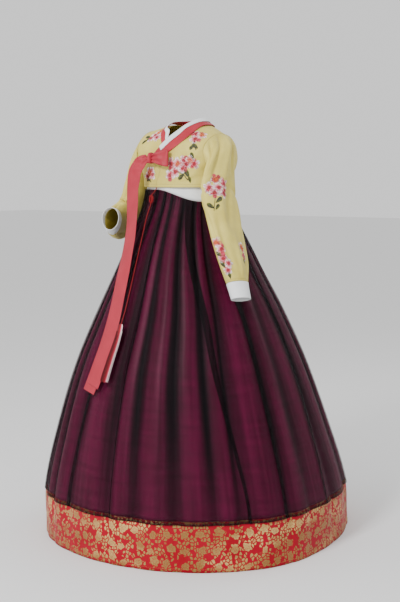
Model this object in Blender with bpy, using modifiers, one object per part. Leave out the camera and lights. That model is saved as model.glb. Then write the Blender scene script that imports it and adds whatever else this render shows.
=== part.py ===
"""A Korean hanbok as it is worn: a short jacket with a tied ribbon, over a high-waisted skirt.

The garment stands hollow, with nobody in it. Metres, +Z up, the front towards -Y, the wearer's left
towards +X. The origin is where the wearer's shoulders hold it. Sizes below are given as heights above
the floor that the hem reaches, and place() turns them into heights from the origin.
"""

import math
from collections import namedtuple

import bmesh
import bpy
from mathutils import Vector

# Driving sizes, in metres
HELD_HEIGHT = 1.440
SEAM_GAP = 0.0003
BODY_CLOTH = 0.0016
SLEEVE_CLOTH = 0.0016
BAND_CLOTH = 0.0016
STRIP_CLOTH = 0.0012
RIBBON_CLOTH = 0.0014
SATIN_CLOTH = 0.0018
ORGANZA_CLOTH = 0.0011
BROCADE_CLOTH = 0.0022
WAISTBAND_CLOTH = 0.0024

JACKET_HEM = 1.220
CHEST_HEIGHT = 1.345
NECK_SIDE_HEIGHT = 1.445
NECK_SIDE_X = 0.062
LEFT_SHOULDER_SLOPE = 0.56
RIGHT_SHOULDER_SLOPE = 0.22
RIGHT_NECK_SIDE_DROP = 0.010
RIGHT_NECK_SHARE = 0.80
SHOULDER_SET_BACK = 0.012

SKIRT_TOP = 1.212
SKIRT_TOP_DROP = 0.040
WAISTBAND_TOP = 1.300
BROCADE_TOP = 0.165
ORGANZA_HEM = 0.153


def place(x, y, height):
    """A point given by its height above the floor, in the part's own frame."""
    return Vector((x, y, height - HELD_HEIGHT))


def smooth(share):
    """0 below 0, 1 above 1, and a smooth step between."""
    share = min(1.0, max(0.0, share))
    return share * share * (3 - 2 * share)


def read(table, at, column):
    """A named column of a table at a value of its first column, on a smooth curve through the rows."""
    rows = sorted(table)
    at = min(rows[-1][0], max(rows[0][0], at))
    last = len(rows) - 1
    low = max(i for i in range(last) if rows[i][0] <= at)
    spots = [rows[min(last, max(0, low + step))] for step in (-1, 0, 1, 2)]
    before, start, end, after = ((row[0], getattr(row, column)) for row in spots)
    span = end[0] - start[0]
    share = (at - start[0]) / span

    def slope(a, b):
        return (b[1] - a[1]) / (b[0] - a[0]) * span if b[0] != a[0] else 0.0

    first, final = slope(before, end), slope(start, after)
    square, cube = share**2, share**3
    return (
        start[1] * (2 * cube - 3 * square + 1)
        + first * (cube - 2 * square + share)
        + end[1] * (3 * square - 2 * cube)
        + final * (cube - square)
    )


def curve_point(points, at):
    """A point at a fractional place along a list of points, on a smooth curve through them."""
    last = len(points) - 1
    low = min(last - 1, max(0, int(at)))
    share = at - low
    p0, p1, p2, p3 = (points[min(last, max(0, low + step))] for step in (-1, 0, 1, 2))
    return (
        p1 * 2 + (p2 - p0) * share + (p0 * 2 - p1 * 5 + p2 * 4 - p3) * share**2
        + (p1 * 3 - p0 - p2 * 3 + p3) * share**3
    ) / 2


# The torso shell that the jacket's body is cut to. Widths and depths are half sizes.
TorsoRow = namedtuple("TorsoRow", "height width front back side_edge")
TORSO = (
    TorsoRow(1.220, 0.1480, 0.1235, 0.1180, 0.1480),
    TorsoRow(1.242, 0.1490, 0.1240, 0.1180, 0.1490),
    TorsoRow(1.262, 0.1500, 0.1240, 0.1175, 0.1500),
    TorsoRow(1.282, 0.1600, 0.1230, 0.1165, 0.1480),
    TorsoRow(1.305, 0.1780, 0.1210, 0.1150, 0.1450),
    TorsoRow(1.345, 0.2050, 0.1150, 0.1130, 0.1420),
    TorsoRow(1.405, 0.2100, 0.1080, 0.1090, 0.1400),
    TorsoRow(1.470, 0.2100, 0.1080, 0.1090, 0.1400),
)
SIDE_ROUND = 2.6
FRONT_ROUND = 2.2
SEAM_HALF_GAP = 0.0003

# How far each front reaches past the centre line, from the hem up to the neck side and down the back.
# run is 1 at the front hem, 0.5 at chest height, 0 on the shoulder and -1 at the back hem.
EdgeRow = namedtuple("EdgeRow", "run inner")
INNER_EDGE = (
    EdgeRow(-1.000, 0.0006),
    EdgeRow(-0.400, 0.0006),
    EdgeRow(-0.300, 0.0006),
    EdgeRow(-0.225, 0.0120),
    EdgeRow(-0.150, 0.0400),
    EdgeRow(-0.075, 0.0560),
    EdgeRow(0.000, 0.0610),
    EdgeRow(0.075, 0.0590),
    EdgeRow(0.150, 0.0540),
    EdgeRow(0.225, 0.0470),
    EdgeRow(0.300, 0.0380),
    EdgeRow(0.400, 0.0230),
    EdgeRow(0.500, 0.0050),
    EdgeRow(0.588, -0.0060),
    EdgeRow(0.676, -0.0095),
    EdgeRow(0.764, -0.0140),
    EdgeRow(0.835, -0.0205),
    EdgeRow(0.915, -0.0290),
    EdgeRow(1.000, -0.0370),
)
LAP_AT_HEM = 0.0040
LAP_AT_CHEST = 0.0090
BODY_RUNS = (1.0, 0.915, 0.835, 0.764, 0.676, 0.588, 0.5, 0.4, 0.3, 0.225, 0.15, 0.075)
UNDERARM_RUN = 0.835
BODY_COLUMNS = 8


def shoulder_top(x, lapped):
    """The height of the shoulder ridge. The wearer's right shoulder is held a little higher."""
    if lapped:
        return NECK_SIDE_HEIGHT - LEFT_SHOULDER_SLOPE * max(0.0, abs(x) - NECK_SIDE_X)
    return NECK_SIDE_HEIGHT - RIGHT_NECK_SIDE_DROP - RIGHT_SHOULDER_SLOPE * max(0.0, abs(x) - NECK_SIDE_X)


def height_of(run, x, lapped):
    """(height above the floor, how far the surface has turned over the shoulder) at a place along the run."""
    along = abs(run)
    if along >= 0.5:
        return CHEST_HEIGHT - (along - 0.5) * 2 * (CHEST_HEIGHT - JACKET_HEM), 0.0
    turn = (1 - along * 2) * math.pi / 2
    return CHEST_HEIGHT + (shoulder_top(x, lapped) - CHEST_HEIGHT) * math.sin(turn), turn


def lap_of(x, height):
    """How far the left front stands out, to lie over the right front and its collar."""
    size = LAP_AT_HEM + (LAP_AT_CHEST - LAP_AT_HEM) * smooth((height - JACKET_HEM - 0.035) / 0.06)
    return size * smooth((0.090 - x) / 0.03)


def shell(x, run, lapped=False, lift=0.0):
    """A point of the jacket's body. lapped is for the left front, and lift moves it out along its normal."""
    height, turn = height_of(run, x, lapped)
    width = read(TORSO, height, "width")
    depth = read(TORSO, height, "back" if run < 0 else "front")
    round_off = max(0.0, 1 - min(1.0, abs(x) / width) ** SIDE_ROUND) ** (1 / FRONT_ROUND)
    away = max(SEAM_HALF_GAP if turn == 0 else 0.0, depth * round_off * math.cos(turn))
    if lapped and run > 0:
        away += lap_of(x, height) * smooth((run - 0.25) / 0.2)
    y = (away if run < 0 else -away) + SHOULDER_SET_BACK * math.sin(turn)
    point = place(x, y, height)
    if lift:
        step = 0.002
        across = shell(x + step, run, lapped) - shell(x - step, run, lapped)
        along = shell(x, run + step, lapped) - shell(x, run - step, lapped)
        point += across.cross(along).normalized() * -lift
    return point


def side_edge_x(run, lapped):
    return read(TORSO, height_of(run, 0.14, lapped)[0], "side_edge")


def neck_x(x, lapped):
    """Where the neck's edge falls: the wearer's right side of the neck sits nearer the centre line."""
    return x if lapped or x < 0 else x * RIGHT_NECK_SHARE


def body_row(run, lapped):
    """The points of a body panel from its inner edge to its side seam or armhole, for the wearer's left."""
    inner, outer = neck_x(read(INNER_EDGE, run, "inner"), lapped), side_edge_x(run, lapped)
    width = read(TORSO, height_of(run, outer, lapped)[0], "width")

    def angle(x):
        return math.copysign(math.asin(min(1.0, abs(x) / width) ** (SIDE_ROUND / 2)), x)

    points = []
    for column in range(BODY_COLUMNS + 1):
        turned = angle(inner) + (angle(outer) - angle(inner)) * column / BODY_COLUMNS
        x = math.copysign(width * abs(math.sin(turned)) ** (2 / SIDE_ROUND), turned)
        points.append(shell(x, run, lapped))
    return points


def mirrored(points):
    return [Vector((-p.x, p.y, p.z)) for p in points]


def material(name, colour, roughness, metallic=0.0):
    """A plain finish in one colour, given as linear red, green and blue."""
    made = bpy.data.materials.new(name)
    made.use_nodes = True
    shader = made.node_tree.nodes["Principled BSDF"]
    shader.inputs["Base Color"].default_value = (*colour, 1.0)
    shader.inputs["Roughness"].default_value = roughness
    shader.inputs["Metallic"].default_value = metallic
    return made


def wall(name, rows, thickness, finish, around=False, flip=False):
    """A cloth wall whose outer face runs through rows of points, thickened inwards."""
    mesh = bpy.data.meshes.new(name)
    count = len(rows[0])
    steps = count if around else count - 1
    faces = []
    for i in range(len(rows) - 1):
        for j in range(steps):
            a, b = i * count + j, i * count + (j + 1) % count
            face = (a, b, b + count, a + count)
            faces.append(face[::-1] if flip else face)
    mesh.from_pydata([p for row in rows for p in row], [], faces)
    mesh.materials.append(finish)
    mesh.shade_smooth()
    obj = bpy.data.objects.new(name, mesh)
    HANBOK.objects.link(obj)
    cloth = obj.modifiers.new("Cloth thickness", "SOLIDIFY")
    cloth.thickness = thickness
    cloth.offset = -1
    cloth.use_rim = True
    return obj


def make_body(side, finish):
    """One half of the jacket's body, from the back hem over the shoulder to the front hem in one piece."""
    lapped = side > 0
    runs = [-r for r in BODY_RUNS] + [0.0] + list(reversed(BODY_RUNS))
    rows = [body_row(run, lapped) for run in runs]
    if side < 0:
        rows = [mirrored(row) for row in rows]
    wall("jacket_body_left" if side > 0 else "jacket_body_right", rows, BODY_CLOTH, finish, flip=side > 0)


# The sleeves. Each station gives the far side and the near side of the arm as x, y, height, and how
# far the sleeve reaches in front of and behind the line between them.
Station = namedtuple("Station", "far near front behind")
LEFT_SLEEVE = (
    Station((0.1400, 0.012, 1.4010), (0.1500, 0.000, 1.2620), 0.098, 0.096),
    Station((0.1720, 0.004, 1.3800), (0.1560, -0.008, 1.2440), 0.092, 0.078),
    Station((0.1940, -0.020, 1.3450), (0.1600, -0.034, 1.2200), 0.096, 0.066),
    Station((0.2060, -0.046, 1.2820), (0.1640, -0.058, 1.1820), 0.090, 0.070),
    Station((0.2230, -0.066, 1.2100), (0.1740, -0.076, 1.1320), 0.082, 0.076),
    Station((0.2470, -0.082, 1.1350), (0.1930, -0.090, 1.0780), 0.076, 0.088),
    Station((0.2770, -0.096, 1.0600), (0.2190, -0.102, 1.0170), 0.074, 0.089),
    Station((0.3100, -0.109, 0.9830), (0.2480, -0.115, 0.9520), 0.064, 0.078),
    Station((0.3330, -0.119, 0.9170), (0.2710, -0.125, 0.8980), 0.044, 0.048),
    Station((0.3520, -0.127, 0.8640), (0.2940, -0.133, 0.8500), 0.038, 0.041),
)
RIGHT_SLEEVE = (
    Station((0.1400, 0.012, 1.4200), (0.1500, 0.000, 1.2620), 0.096, 0.098),
    Station((0.1760, 0.008, 1.3920), (0.1570, 0.000, 1.2420), 0.082, 0.088),
    Station((0.2080, 0.004, 1.3450), (0.1640, -0.004, 1.2160), 0.076, 0.082),
    Station((0.2320, 0.000, 1.2750), (0.1750, -0.008, 1.1800), 0.072, 0.078),
    Station((0.2560, 0.000, 1.2050), (0.1900, -0.016, 1.1450), 0.066, 0.076),
    Station((0.2720, -0.024, 1.1560), (0.2000, -0.036, 1.1240), 0.058, 0.078),
    Station((0.2700, -0.070, 1.1260), (0.2000, -0.072, 1.1100), 0.052, 0.078),
    Station((0.2540, -0.122, 1.1120), (0.1900, -0.108, 1.1050), 0.046, 0.070),
    Station((0.2260, -0.172, 1.1100), (0.1700, -0.146, 1.1060), 0.040, 0.054),
    Station((0.2000, -0.216, 1.1160), (0.1480, -0.188, 1.1140), 0.037, 0.042),
)
SLEEVE_ROWS = (0.0, 0.5, 1.0, 1.5, 2.0, 2.75, 3.5, 4.25, 5.0, 5.75, 6.5, 7.25, 8.0)
CUFF_ROWS = (8.0, 8.5, 9.0)
ARMHOLE_STATIONS = 2
STRAIGHT_STATIONS = 2
EVEN_FROM_STATION = 5
SLEEVE_SEAM_GAP = SEAM_GAP * 4
CUFF_SEAM_GAP = SEAM_GAP * 1.4


def armhole(lapped):
    """The edge that a sleeve is sewn to, from the underarm up the front and down the back."""
    rising = [run for run in BODY_RUNS if run <= UNDERARM_RUN]
    loop = rising + [0.0] + [-run for run in reversed(rising[1:])]
    return [shell(side_edge_x(run, lapped), run, lapped) for run in loop]


def sewn_angle(offset, station):
    """The angle round the armhole of a point on its edge, from the underarm round by the front."""
    down = (place(*station.near) - place(*station.far)) / 2
    depth = station.front if offset.y < 0 else station.behind
    turn = math.atan2(-offset.y / depth, offset.dot(down.normalized()) / down.length)
    return turn if turn > -0.05 else turn + 2 * math.pi


def sleeve_ring(stations, at, lapped):
    """A ring of points round a sleeve, at a fractional place along its stations."""
    middles = [(place(*s.far) + place(*s.near)) / 2 for s in stations]
    half = curve_point([(place(*s.near) - place(*s.far)) / 2 for s in stations], at)
    reach = curve_point([Vector((s.front, s.behind, 0)) for s in stations], at)
    middle, start = curve_point(middles, at), middles[0]
    step = 0.05
    line = curve_point(middles, min(at + step, len(stations) - 1)) - curve_point(middles, max(at - step, 0))
    turned = smooth((at - STRAIGHT_STATIONS) / 4)
    forward = Vector((0, -1, 0)).lerp(half.cross(line).normalized(), turned).normalized()
    edge = armhole(lapped)
    share = 1 - smooth(at / ARMHOLE_STATIONS)
    points = []
    for j, sewn in enumerate(edge):
        sewn_turn = sewn_angle(sewn - start, stations[0])
        turn = 2 * math.pi * j / len(edge)
        turn += (sewn_turn - turn) * (1 - smooth(at / EVEN_FROM_STATION))
        depth = reach.x if math.sin(turn) > 0 else reach.y
        oval = middle + half * math.cos(turn) + forward * (depth * math.sin(turn))
        points.append(oval.lerp(sewn - start + middle, share))
    return points


def make_sleeve(side, stations, finish, cuff_finish):
    word = "left" if side > 0 else "right"
    for name, places, thickness, cloth in (
        (f"jacket_sleeve_{word}", SLEEVE_ROWS, SLEEVE_CLOTH, finish),
        (f"cuff_{word}", CUFF_ROWS, BAND_CLOTH, cuff_finish),
    ):
        rows = [sleeve_ring(stations, at, side > 0) for at in places]
        shift = (sum(rows[1], Vector()) - sum(rows[0], Vector())).normalized() * CUFF_SEAM_GAP
        if places[0] == 0.0:
            shift = Vector((SLEEVE_SEAM_GAP, 0, 0))
        rows[0] = [p + shift for p in rows[0]]
        if side < 0:
            rows = [mirrored(row) for row in rows]
        wall(name, rows, thickness, cloth, around=True, flip=side > 0)


# The collar band from its end at the front to the nape. Its lower edge is x and run on the body. Its
# upper edge is x and height on the body, or where it stands up round the neck, x, y and height, and
# then its middle is x and run on the body as well.
BandRow = namedtuple("BandRow", "low middle high")
COLLAR = (
    BandRow((-0.022, 0.640), None, (-0.043, 1.334)),
    BandRow((-0.006, 0.598), None, (-0.028, 1.348)),
    BandRow((0.016, 0.540), None, (-0.011, 1.366)),
    BandRow((0.042, 0.478), None, (0.006, 1.388)),
    BandRow((0.066, 0.405), None, (0.024, 1.410)),
    BandRow((0.082, 0.300), (0.058, 0.255), (0.045, -0.058, 1.432)),
    BandRow((0.088, 0.130), (0.072, 0.120), (0.056, -0.024, 1.448)),
    BandRow((0.090, 0.000), (0.075, 0.000), (0.060, 0.010, 1.455)),
    BandRow((0.078, -0.150), (0.063, -0.138), (0.053, 0.042, 1.457)),
    BandRow((0.048, -0.255), (0.036, -0.215), (0.034, 0.068, 1.457)),
    BandRow((0.000, -0.300), (0.000, -0.250), (0.000, 0.078, 1.456)),
)
BAND_LIFT = 0.0034
STANDING_LIFT = 0.0050
NAPE_LIFT = 0.0068
BAND_STEP = 0.5
RIGHT_BAND_END = 2.0
RIGHT_STRIP_END = 2.5
LEFT_STRIP_END = 1.5
STRIP_FROM = 0.58
STRIP_LIFT = 0.0024
RIGHT_NECK_DROP = 0.16


def front_run(x, height, lapped):
    """The run at which the front of the body has a height."""
    if height <= CHEST_HEIGHT:
        return 0.5 + (CHEST_HEIGHT - height) / (CHEST_HEIGHT - JACKET_HEM) / 2
    rise = (height - CHEST_HEIGHT) / (shoulder_top(x, lapped) - CHEST_HEIGHT)
    return (1 - math.asin(rise) * 2 / math.pi) / 2


def band_lines(row, lapped):
    """The collar's lower edge, middle and upper edge at one station."""
    lift = BAND_LIFT
    if row.middle:
        lift = STANDING_LIFT if row.low[0] else NAPE_LIFT
    low = shell(neck_x(row.low[0], lapped), row.low[1], lapped, lift)
    if row.middle is None:
        x, height = neck_x(row.high[0], lapped), row.high[1]
        run = front_run(x, height, lapped)
        middle = shell((neck_x(row.low[0], lapped) + x) / 2, (row.low[1] + run) / 2, lapped, BAND_LIFT)
        return low, middle, shell(x, run, lapped, BAND_LIFT)
    x, y, height = row.high
    if not lapped:
        height -= x * RIGHT_NECK_DROP
    middle = shell(neck_x(row.middle[0], lapped), row.middle[1], lapped, lift)
    return low, middle, place(neck_x(x, lapped), y, height)


def band_path():
    """The collar's three lines all round the neck, from the right front's end to the left front's."""
    right = [mirrored(band_lines(row, False)) for row in COLLAR]
    left = [band_lines(row, True) for row in COLLAR[:-1]]
    return [list(line) for line in zip(*(right + list(reversed(left))))]


def band_point(lines, at, across, lift=0.0):
    """A point of the collar band. at counts stations from the right front's end, across goes from 0 to 1."""

    def on_band(station, share):
        low, middle, high = (curve_point(line, station) for line in lines)
        return low.lerp(middle, share * 2) if share < 0.5 else middle.lerp(high, share * 2 - 1)

    point = on_band(at, across)
    if lift:
        step = 0.05
        along = on_band(at + step, across) - on_band(at - step, across)
        over = on_band(at, across + step) - on_band(at, across - step)
        point -= along.cross(over).normalized() * lift
    return point


def make_collar(finish, strip_finish):
    """The coral collar band and the narrow white strip that lies on its upper half."""
    lines = band_path()
    last = 2 * len(COLLAR) - 2

    def rows(start, end, shares, lift):
        count = round((end - start) / BAND_STEP)
        return [
            [band_point(lines, start + BAND_STEP * i, share, lift) for share in shares]
            for i in range(count + 1)
        ]

    wall("collar_band", rows(RIGHT_BAND_END, last, (0.0, 0.5, 1.0), 0.0), BAND_CLOTH, finish)
    strip = rows(RIGHT_STRIP_END, last - LEFT_STRIP_END, (STRIP_FROM, 1.02), STRIP_LIFT)
    wall("collar_strip", strip, STRIP_CLOTH, strip_finish)


# The skirt, by height above the floor: half width, reach to the front and to the back, the depth of
# the big folds and of the gathers at the top.
SkirtRow = namedtuple("SkirtRow", "height width front back fold gather")
SKIRT = (
    SkirtRow(1.310, 0.1450, 0.1188, 0.1126, 0.0000, 0.0000),
    SkirtRow(1.212, 0.1452, 0.1202, 0.1130, 0.0000, 0.0030),
    SkirtRow(1.165, 0.1500, 0.1320, 0.1330, 0.0012, 0.0034),
    SkirtRow(1.115, 0.1610, 0.1530, 0.1680, 0.0035, 0.0030),
    SkirtRow(1.035, 0.1900, 0.1910, 0.2280, 0.0070, 0.0016),
    SkirtRow(0.935, 0.2320, 0.2340, 0.2950, 0.0090, 0.0006),
    SkirtRow(0.795, 0.2970, 0.2900, 0.3800, 0.0110, 0.0000),
    SkirtRow(0.610, 0.3730, 0.3680, 0.4800, 0.0120, 0.0000),
    SkirtRow(0.395, 0.4450, 0.4230, 0.5730, 0.0120, 0.0000),
    SkirtRow(0.165, 0.5080, 0.4600, 0.6680, 0.0105, 0.0000),
    SkirtRow(0.000, 0.5150, 0.4620, 0.7100, 0.0085, 0.0000),
)
FOLDS = 24
FINE_STEPS = 6
COARSE_STEPS = 3
SKIRT_HEIGHTS = (1.212, 1.152, 1.080, 0.985, 0.850, 0.675, 0.440, 0.1660)
OVERLAY_CLEARANCE = 0.0036
OVERLAY_TOP_CLEARANCE = 0.0017
TUCKED_FOLDS = (1, 4, 7, 10, 13, 16, 19, 22)
TUCK_DEPTH = 0.0050
QUARTERS = ("front", "left", "back", "right")


def fold_start(k):
    """The angle of the valley before fold k, from the front centre towards the wearer's left."""
    uneven = 0.22 * math.sin(2.4 * (k % FOLDS) + 0.7) + 0.10 * math.sin(5.1 * (k % FOLDS))
    return 2 * math.pi * (k + uneven - FOLDS / 8) / FOLDS


def skirt_top(angle):
    """The height of the gathered seam: high at the front, lower at the wearer's left and the back."""
    turned = math.degrees((angle + math.pi) % (2 * math.pi) - math.pi)
    share = smooth((turned + 15) / 70) if turned > -60 else smooth((-turned - 90) / 70)
    return SKIRT_TOP - SKIRT_TOP_DROP * share


def skirt_height(angle, nominal):
    """The height of a row of the skirt at an angle, stretched so that the top row follows the seam."""
    share = (nominal - BROCADE_TOP) / (SKIRT_TOP - BROCADE_TOP)
    if share <= 0:
        return nominal
    return BROCADE_TOP + (skirt_top(angle) - BROCADE_TOP) * share


def skirt_point(angle, height, out):
    """A point on the skirt's oval section, moved out from its middle."""
    depth = read(SKIRT, height, "front" if math.cos(angle) > 0 else "back")
    flat = Vector((read(SKIRT, height, "width") * math.sin(angle), -depth * math.cos(angle)))
    flat += flat.normalized() * out
    return place(flat.x, flat.y, height)


def fold_out(k, share, height):
    """How far a fold stands out at a share of its width: a rounded ridge between sharp valleys."""
    size = 1 + 0.3 * math.sin(1.9 * (k % FOLDS) + 0.4)
    skew = 1 + 0.35 * math.sin(3.7 * (k % FOLDS))
    return read(SKIRT, height, "fold") * size * math.sin(math.pi * share**skew) ** 0.85


def pleat_out(share, height):
    """The small knife pleats at the top, two for each fold."""
    along = share * 2 % 1
    rise = 1 / 3
    lifted = along / rise if along < rise else (1 - along) / (1 - rise)
    return read(SKIRT, height, "gather") * lifted


def samples(steps, first=0, count=FOLDS):
    """(fold, share, angle) at even places in each fold."""
    found = []
    for k in range(first, first + count):
        width = fold_start(k + 1) - fold_start(k)
        found += [(k, step / steps, fold_start(k) + width * step / steps) for step in range(steps)]
    return found


def make_skirt_quarter(index, satin, brocade):
    """A quarter of the satin skirt and of the brocade band below it, parted at their seams."""
    count = FOLDS // len(QUARTERS)
    word = QUARTERS[index]
    for name, steps, heights, thickness, finish in (
        (f"skirt_panel_{word}", COARSE_STEPS, SKIRT_HEIGHTS, SATIN_CLOTH, satin),
        (f"hem_band_{word}", FINE_STEPS, (BROCADE_TOP, 0.085, 0.0), BROCADE_CLOTH, brocade),
    ):
        spots = samples(steps, index * count, count + 1)[: count * steps + 1]
        rows = []
        for nominal in heights:
            row = []
            for k, share, angle in spots:
                height = skirt_height(angle, nominal)
                row.append(skirt_point(angle, height, fold_out(k, share, height)))
            inwards = (SEAM_GAP / (row[1] - row[0]).length, SEAM_GAP / (row[-2] - row[-1]).length)
            row[0] = row[0].lerp(row[1], inwards[0])
            row[-1] = row[-1].lerp(row[-2], inwards[1])
            rows.append(row)
        wall(name, rows, thickness, finish, flip=True)


def make_overlay(finish):
    """The sheer organza over the satin: it follows the same folds and adds the gathers and the tucks."""
    spots = samples(FINE_STEPS)
    ratio = FINE_STEPS // COARSE_STEPS
    rows = []
    for nominal in SKIRT_HEIGHTS + (ORGANZA_HEM,):
        under = [fold_out(k, share, skirt_height(angle, nominal)) for k, share, angle in spots]
        row = []
        for index, (k, share, angle) in enumerate(spots):
            height = skirt_height(angle, nominal)
            before = index - index % ratio
            after = (before + ratio) % len(spots)
            chord = under[before] + (under[after] - under[before]) * (index % ratio) / ratio
            lower = smooth((skirt_top(angle) - height) / 0.1)
            out = max(under[index], chord) + pleat_out(share, height)
            out += OVERLAY_TOP_CLEARANCE + (OVERLAY_CLEARANCE - OVERLAY_TOP_CLEARANCE) * lower
            if k in TUCKED_FOLDS and index % FINE_STEPS == 1:
                out += TUCK_DEPTH
            row.append(skirt_point(angle, height, out))
        rows.append(row)
    wall("skirt_overlay", rows, ORGANZA_CLOTH, finish, around=True, flip=True)


def make_waistband(finish):
    """The white band that the skirt is gathered on to, round the chest inside the jacket."""
    spots = samples(COARSE_STEPS)
    rows = []
    for share in (1.0, 0.5, 0.0):
        row = []
        for *_, angle in spots:
            low = skirt_top(angle) + SEAM_GAP
            row.append(skirt_point(angle, low + (WAISTBAND_TOP - low) * share, 0.0))
        rows.append(row)
    wall("skirt_waistband", rows, WAISTBAND_CLOTH, finish, around=True, flip=True)


# Ribbons: each row is the middle of the ribbon as x, y, height, and its width.
RibbonRow = namedtuple("RibbonRow", "middle width")
LOOP = (
    RibbonRow((-0.0299, -0.1420, 1.3190), 0.026),
    RibbonRow((-0.0140, -0.1415, 1.3190), 0.036),
    RibbonRow((0.0030, -0.1410, 1.3185), 0.046),
    RibbonRow((0.0200, -0.1415, 1.3180), 0.053),
    RibbonRow((0.0340, -0.1450, 1.3175), 0.056),
    RibbonRow((0.0370, -0.1510, 1.3175), 0.056),
    RibbonRow((0.0300, -0.1570, 1.3180), 0.055),
    RibbonRow((0.0100, -0.1590, 1.3185), 0.048),
    RibbonRow((-0.0120, -0.1580, 1.3190), 0.036),
    RibbonRow((-0.0299, -0.1550, 1.3190), 0.026),
)
TAIL = (
    RibbonRow((-0.0510, -0.1510, 1.3175), 0.028),
    RibbonRow((-0.0680, -0.1570, 1.3110), 0.038),
    RibbonRow((-0.0870, -0.1620, 1.2950), 0.044),
    RibbonRow((-0.1000, -0.1660, 1.2660), 0.046),
    RibbonRow((-0.1020, -0.1710, 1.2200), 0.047),
    RibbonRow((-0.0910, -0.1870, 1.1500), 0.048),
    RibbonRow((-0.0750, -0.2170, 1.0700), 0.048),
    RibbonRow((-0.0640, -0.2500, 0.9900), 0.049),
    RibbonRow((-0.0570, -0.2960, 0.8800), 0.050),
    RibbonRow((-0.0560, -0.3440, 0.7550), 0.051),
    RibbonRow((-0.0700, -0.3850, 0.6400), 0.052),
    RibbonRow((-0.0990, -0.4070, 0.5450), 0.053),
)
SHORT_TAIL_BESIDE = 0.010
SHORT_TAIL_OVER = 0.0026
SHORT_TAIL_END = 10.68
KNOT_MIDDLE = (-0.0385, -0.1463, 1.3190)
KNOT_HALF = (0.0085, 0.0167, 0.0190)


def ribbon_rows(table, count, beside=0.0, over=0.0, stop=None, upright=False):
    """Three points across a ribbon at even places along it. It lies flat on what is behind it, or upright."""
    middles = [place(*row.middle) for row in table]
    widths = [Vector((row.width, 0, 0)) for row in table]
    last = len(table) - 1 if stop is None else stop
    rows = []
    for i in range(count + 1):
        at = last * i / count
        middle, width = curve_point(middles, at), curve_point(widths, at).x
        step = 0.05
        along = curve_point(middles, min(last, at + step)) - curve_point(middles, max(0, at - step))
        outward = Vector((middle.x * 0.6, middle.y, 0)).normalized()
        side = Vector((0, 0, 1)) if upright else along.cross(outward).normalized()
        middle = middle - side * (beside * smooth(at / 2)) + side.cross(along).normalized() * over
        rows.append([middle + side * (width * share) for share in (-0.5, 0.0, 0.5)])
    return rows


def make_ribbons(finish):
    """The tied ribbon: one loop, a knot round it, and two long tails that lie on each other."""
    wall("ribbon_loop", ribbon_rows(LOOP, 18, upright=True), RIBBON_CLOTH, finish)
    wall("ribbon_tail_long", ribbon_rows(TAIL, 26), RIBBON_CLOTH, finish)
    short = ribbon_rows(TAIL, 26, SHORT_TAIL_BESIDE, SHORT_TAIL_OVER, SHORT_TAIL_END)
    wall("ribbon_tail_short", short, RIBBON_CLOTH, finish)
    rounded_knot("ribbon_knot", KNOT_MIDDLE, KNOT_HALF, finish)


def rounded_knot(name, middle, half, finish):
    """A short, fat, rounded wrap, half being its half sizes."""
    made = bmesh.new()
    bmesh.ops.create_uvsphere(made, u_segments=14, v_segments=9, radius=1.0)
    for vertex in made.verts:
        boxed = vertex.co / sum(abs(c) ** 3 for c in vertex.co) ** (1 / 3)
        vertex.co = place(*middle) + Vector([c * h for c, h in zip(boxed, half)])
    mesh = bpy.data.meshes.new(name)
    made.to_mesh(mesh)
    made.free()
    mesh.materials.append(finish)
    mesh.shade_smooth()
    HANBOK.objects.link(bpy.data.objects.new(name, mesh))


# The hanging ornament: a cord out from under the jacket's hem, a knot, a longer cord and a tassel.
TOP_CORD_PATH = (
    (-0.0300, -0.1264, 1.2196),
    (-0.0303, -0.1312, 1.2120),
    (-0.0308, -0.1420, 1.2020),
    (-0.0311, -0.1530, 1.1940),
)
ORNAMENT_KNOT = (-0.0312, -0.1550, 1.1800)
ORNAMENT_KNOT_HALF = (0.0085, 0.0055, 0.0135)
LONG_CORD_PATH = (
    (-0.0312, -0.1565, 1.1662),
    (-0.0290, -0.1850, 1.1150),
    (-0.0230, -0.2220, 1.0350),
    (-0.0160, -0.2680, 0.9350),
    (-0.0100, -0.3130, 0.8350),
    (-0.0098, -0.3416, 0.7730),
)
CORD_RADIUS = 0.0015
CORD_STEP = 0.009

# The tassel by its middle line: the head down to the fourth row, and then the strands.
TasselRow = namedtuple("TasselRow", "middle half_width half_depth")
TASSEL = (
    TasselRow((-0.0098, -0.3440, 0.7720), 0.0060, 0.0030),
    TasselRow((-0.0099, -0.3460, 0.7670), 0.0092, 0.0042),
    TasselRow((-0.0102, -0.3490, 0.7560), 0.0096, 0.0044),
    TasselRow((-0.0108, -0.3530, 0.7430), 0.0096, 0.0044),
    TasselRow((-0.0125, -0.3680, 0.7060), 0.0108, 0.0050),
    TasselRow((-0.0165, -0.3900, 0.6560), 0.0118, 0.0055),
    TasselRow((-0.0225, -0.4170, 0.5860), 0.0128, 0.0060),
)
TASSEL_HEAD_ROWS = 4
STRANDS_ACROSS = 5
STRANDS_DEEP = 2
STRAND_SHARE = 0.72


def make_mesh(name, points, faces, finish):
    """A solid from points and faces, with its faces turned outwards."""
    mesh = bpy.data.meshes.new(name)
    mesh.from_pydata(points, [], faces)
    made = bmesh.new()
    made.from_mesh(mesh)
    bmesh.ops.recalc_face_normals(made, faces=made.faces)
    made.to_mesh(mesh)
    made.free()
    mesh.materials.append(finish)
    mesh.shade_smooth()
    HANBOK.objects.link(bpy.data.objects.new(name, mesh))


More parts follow.
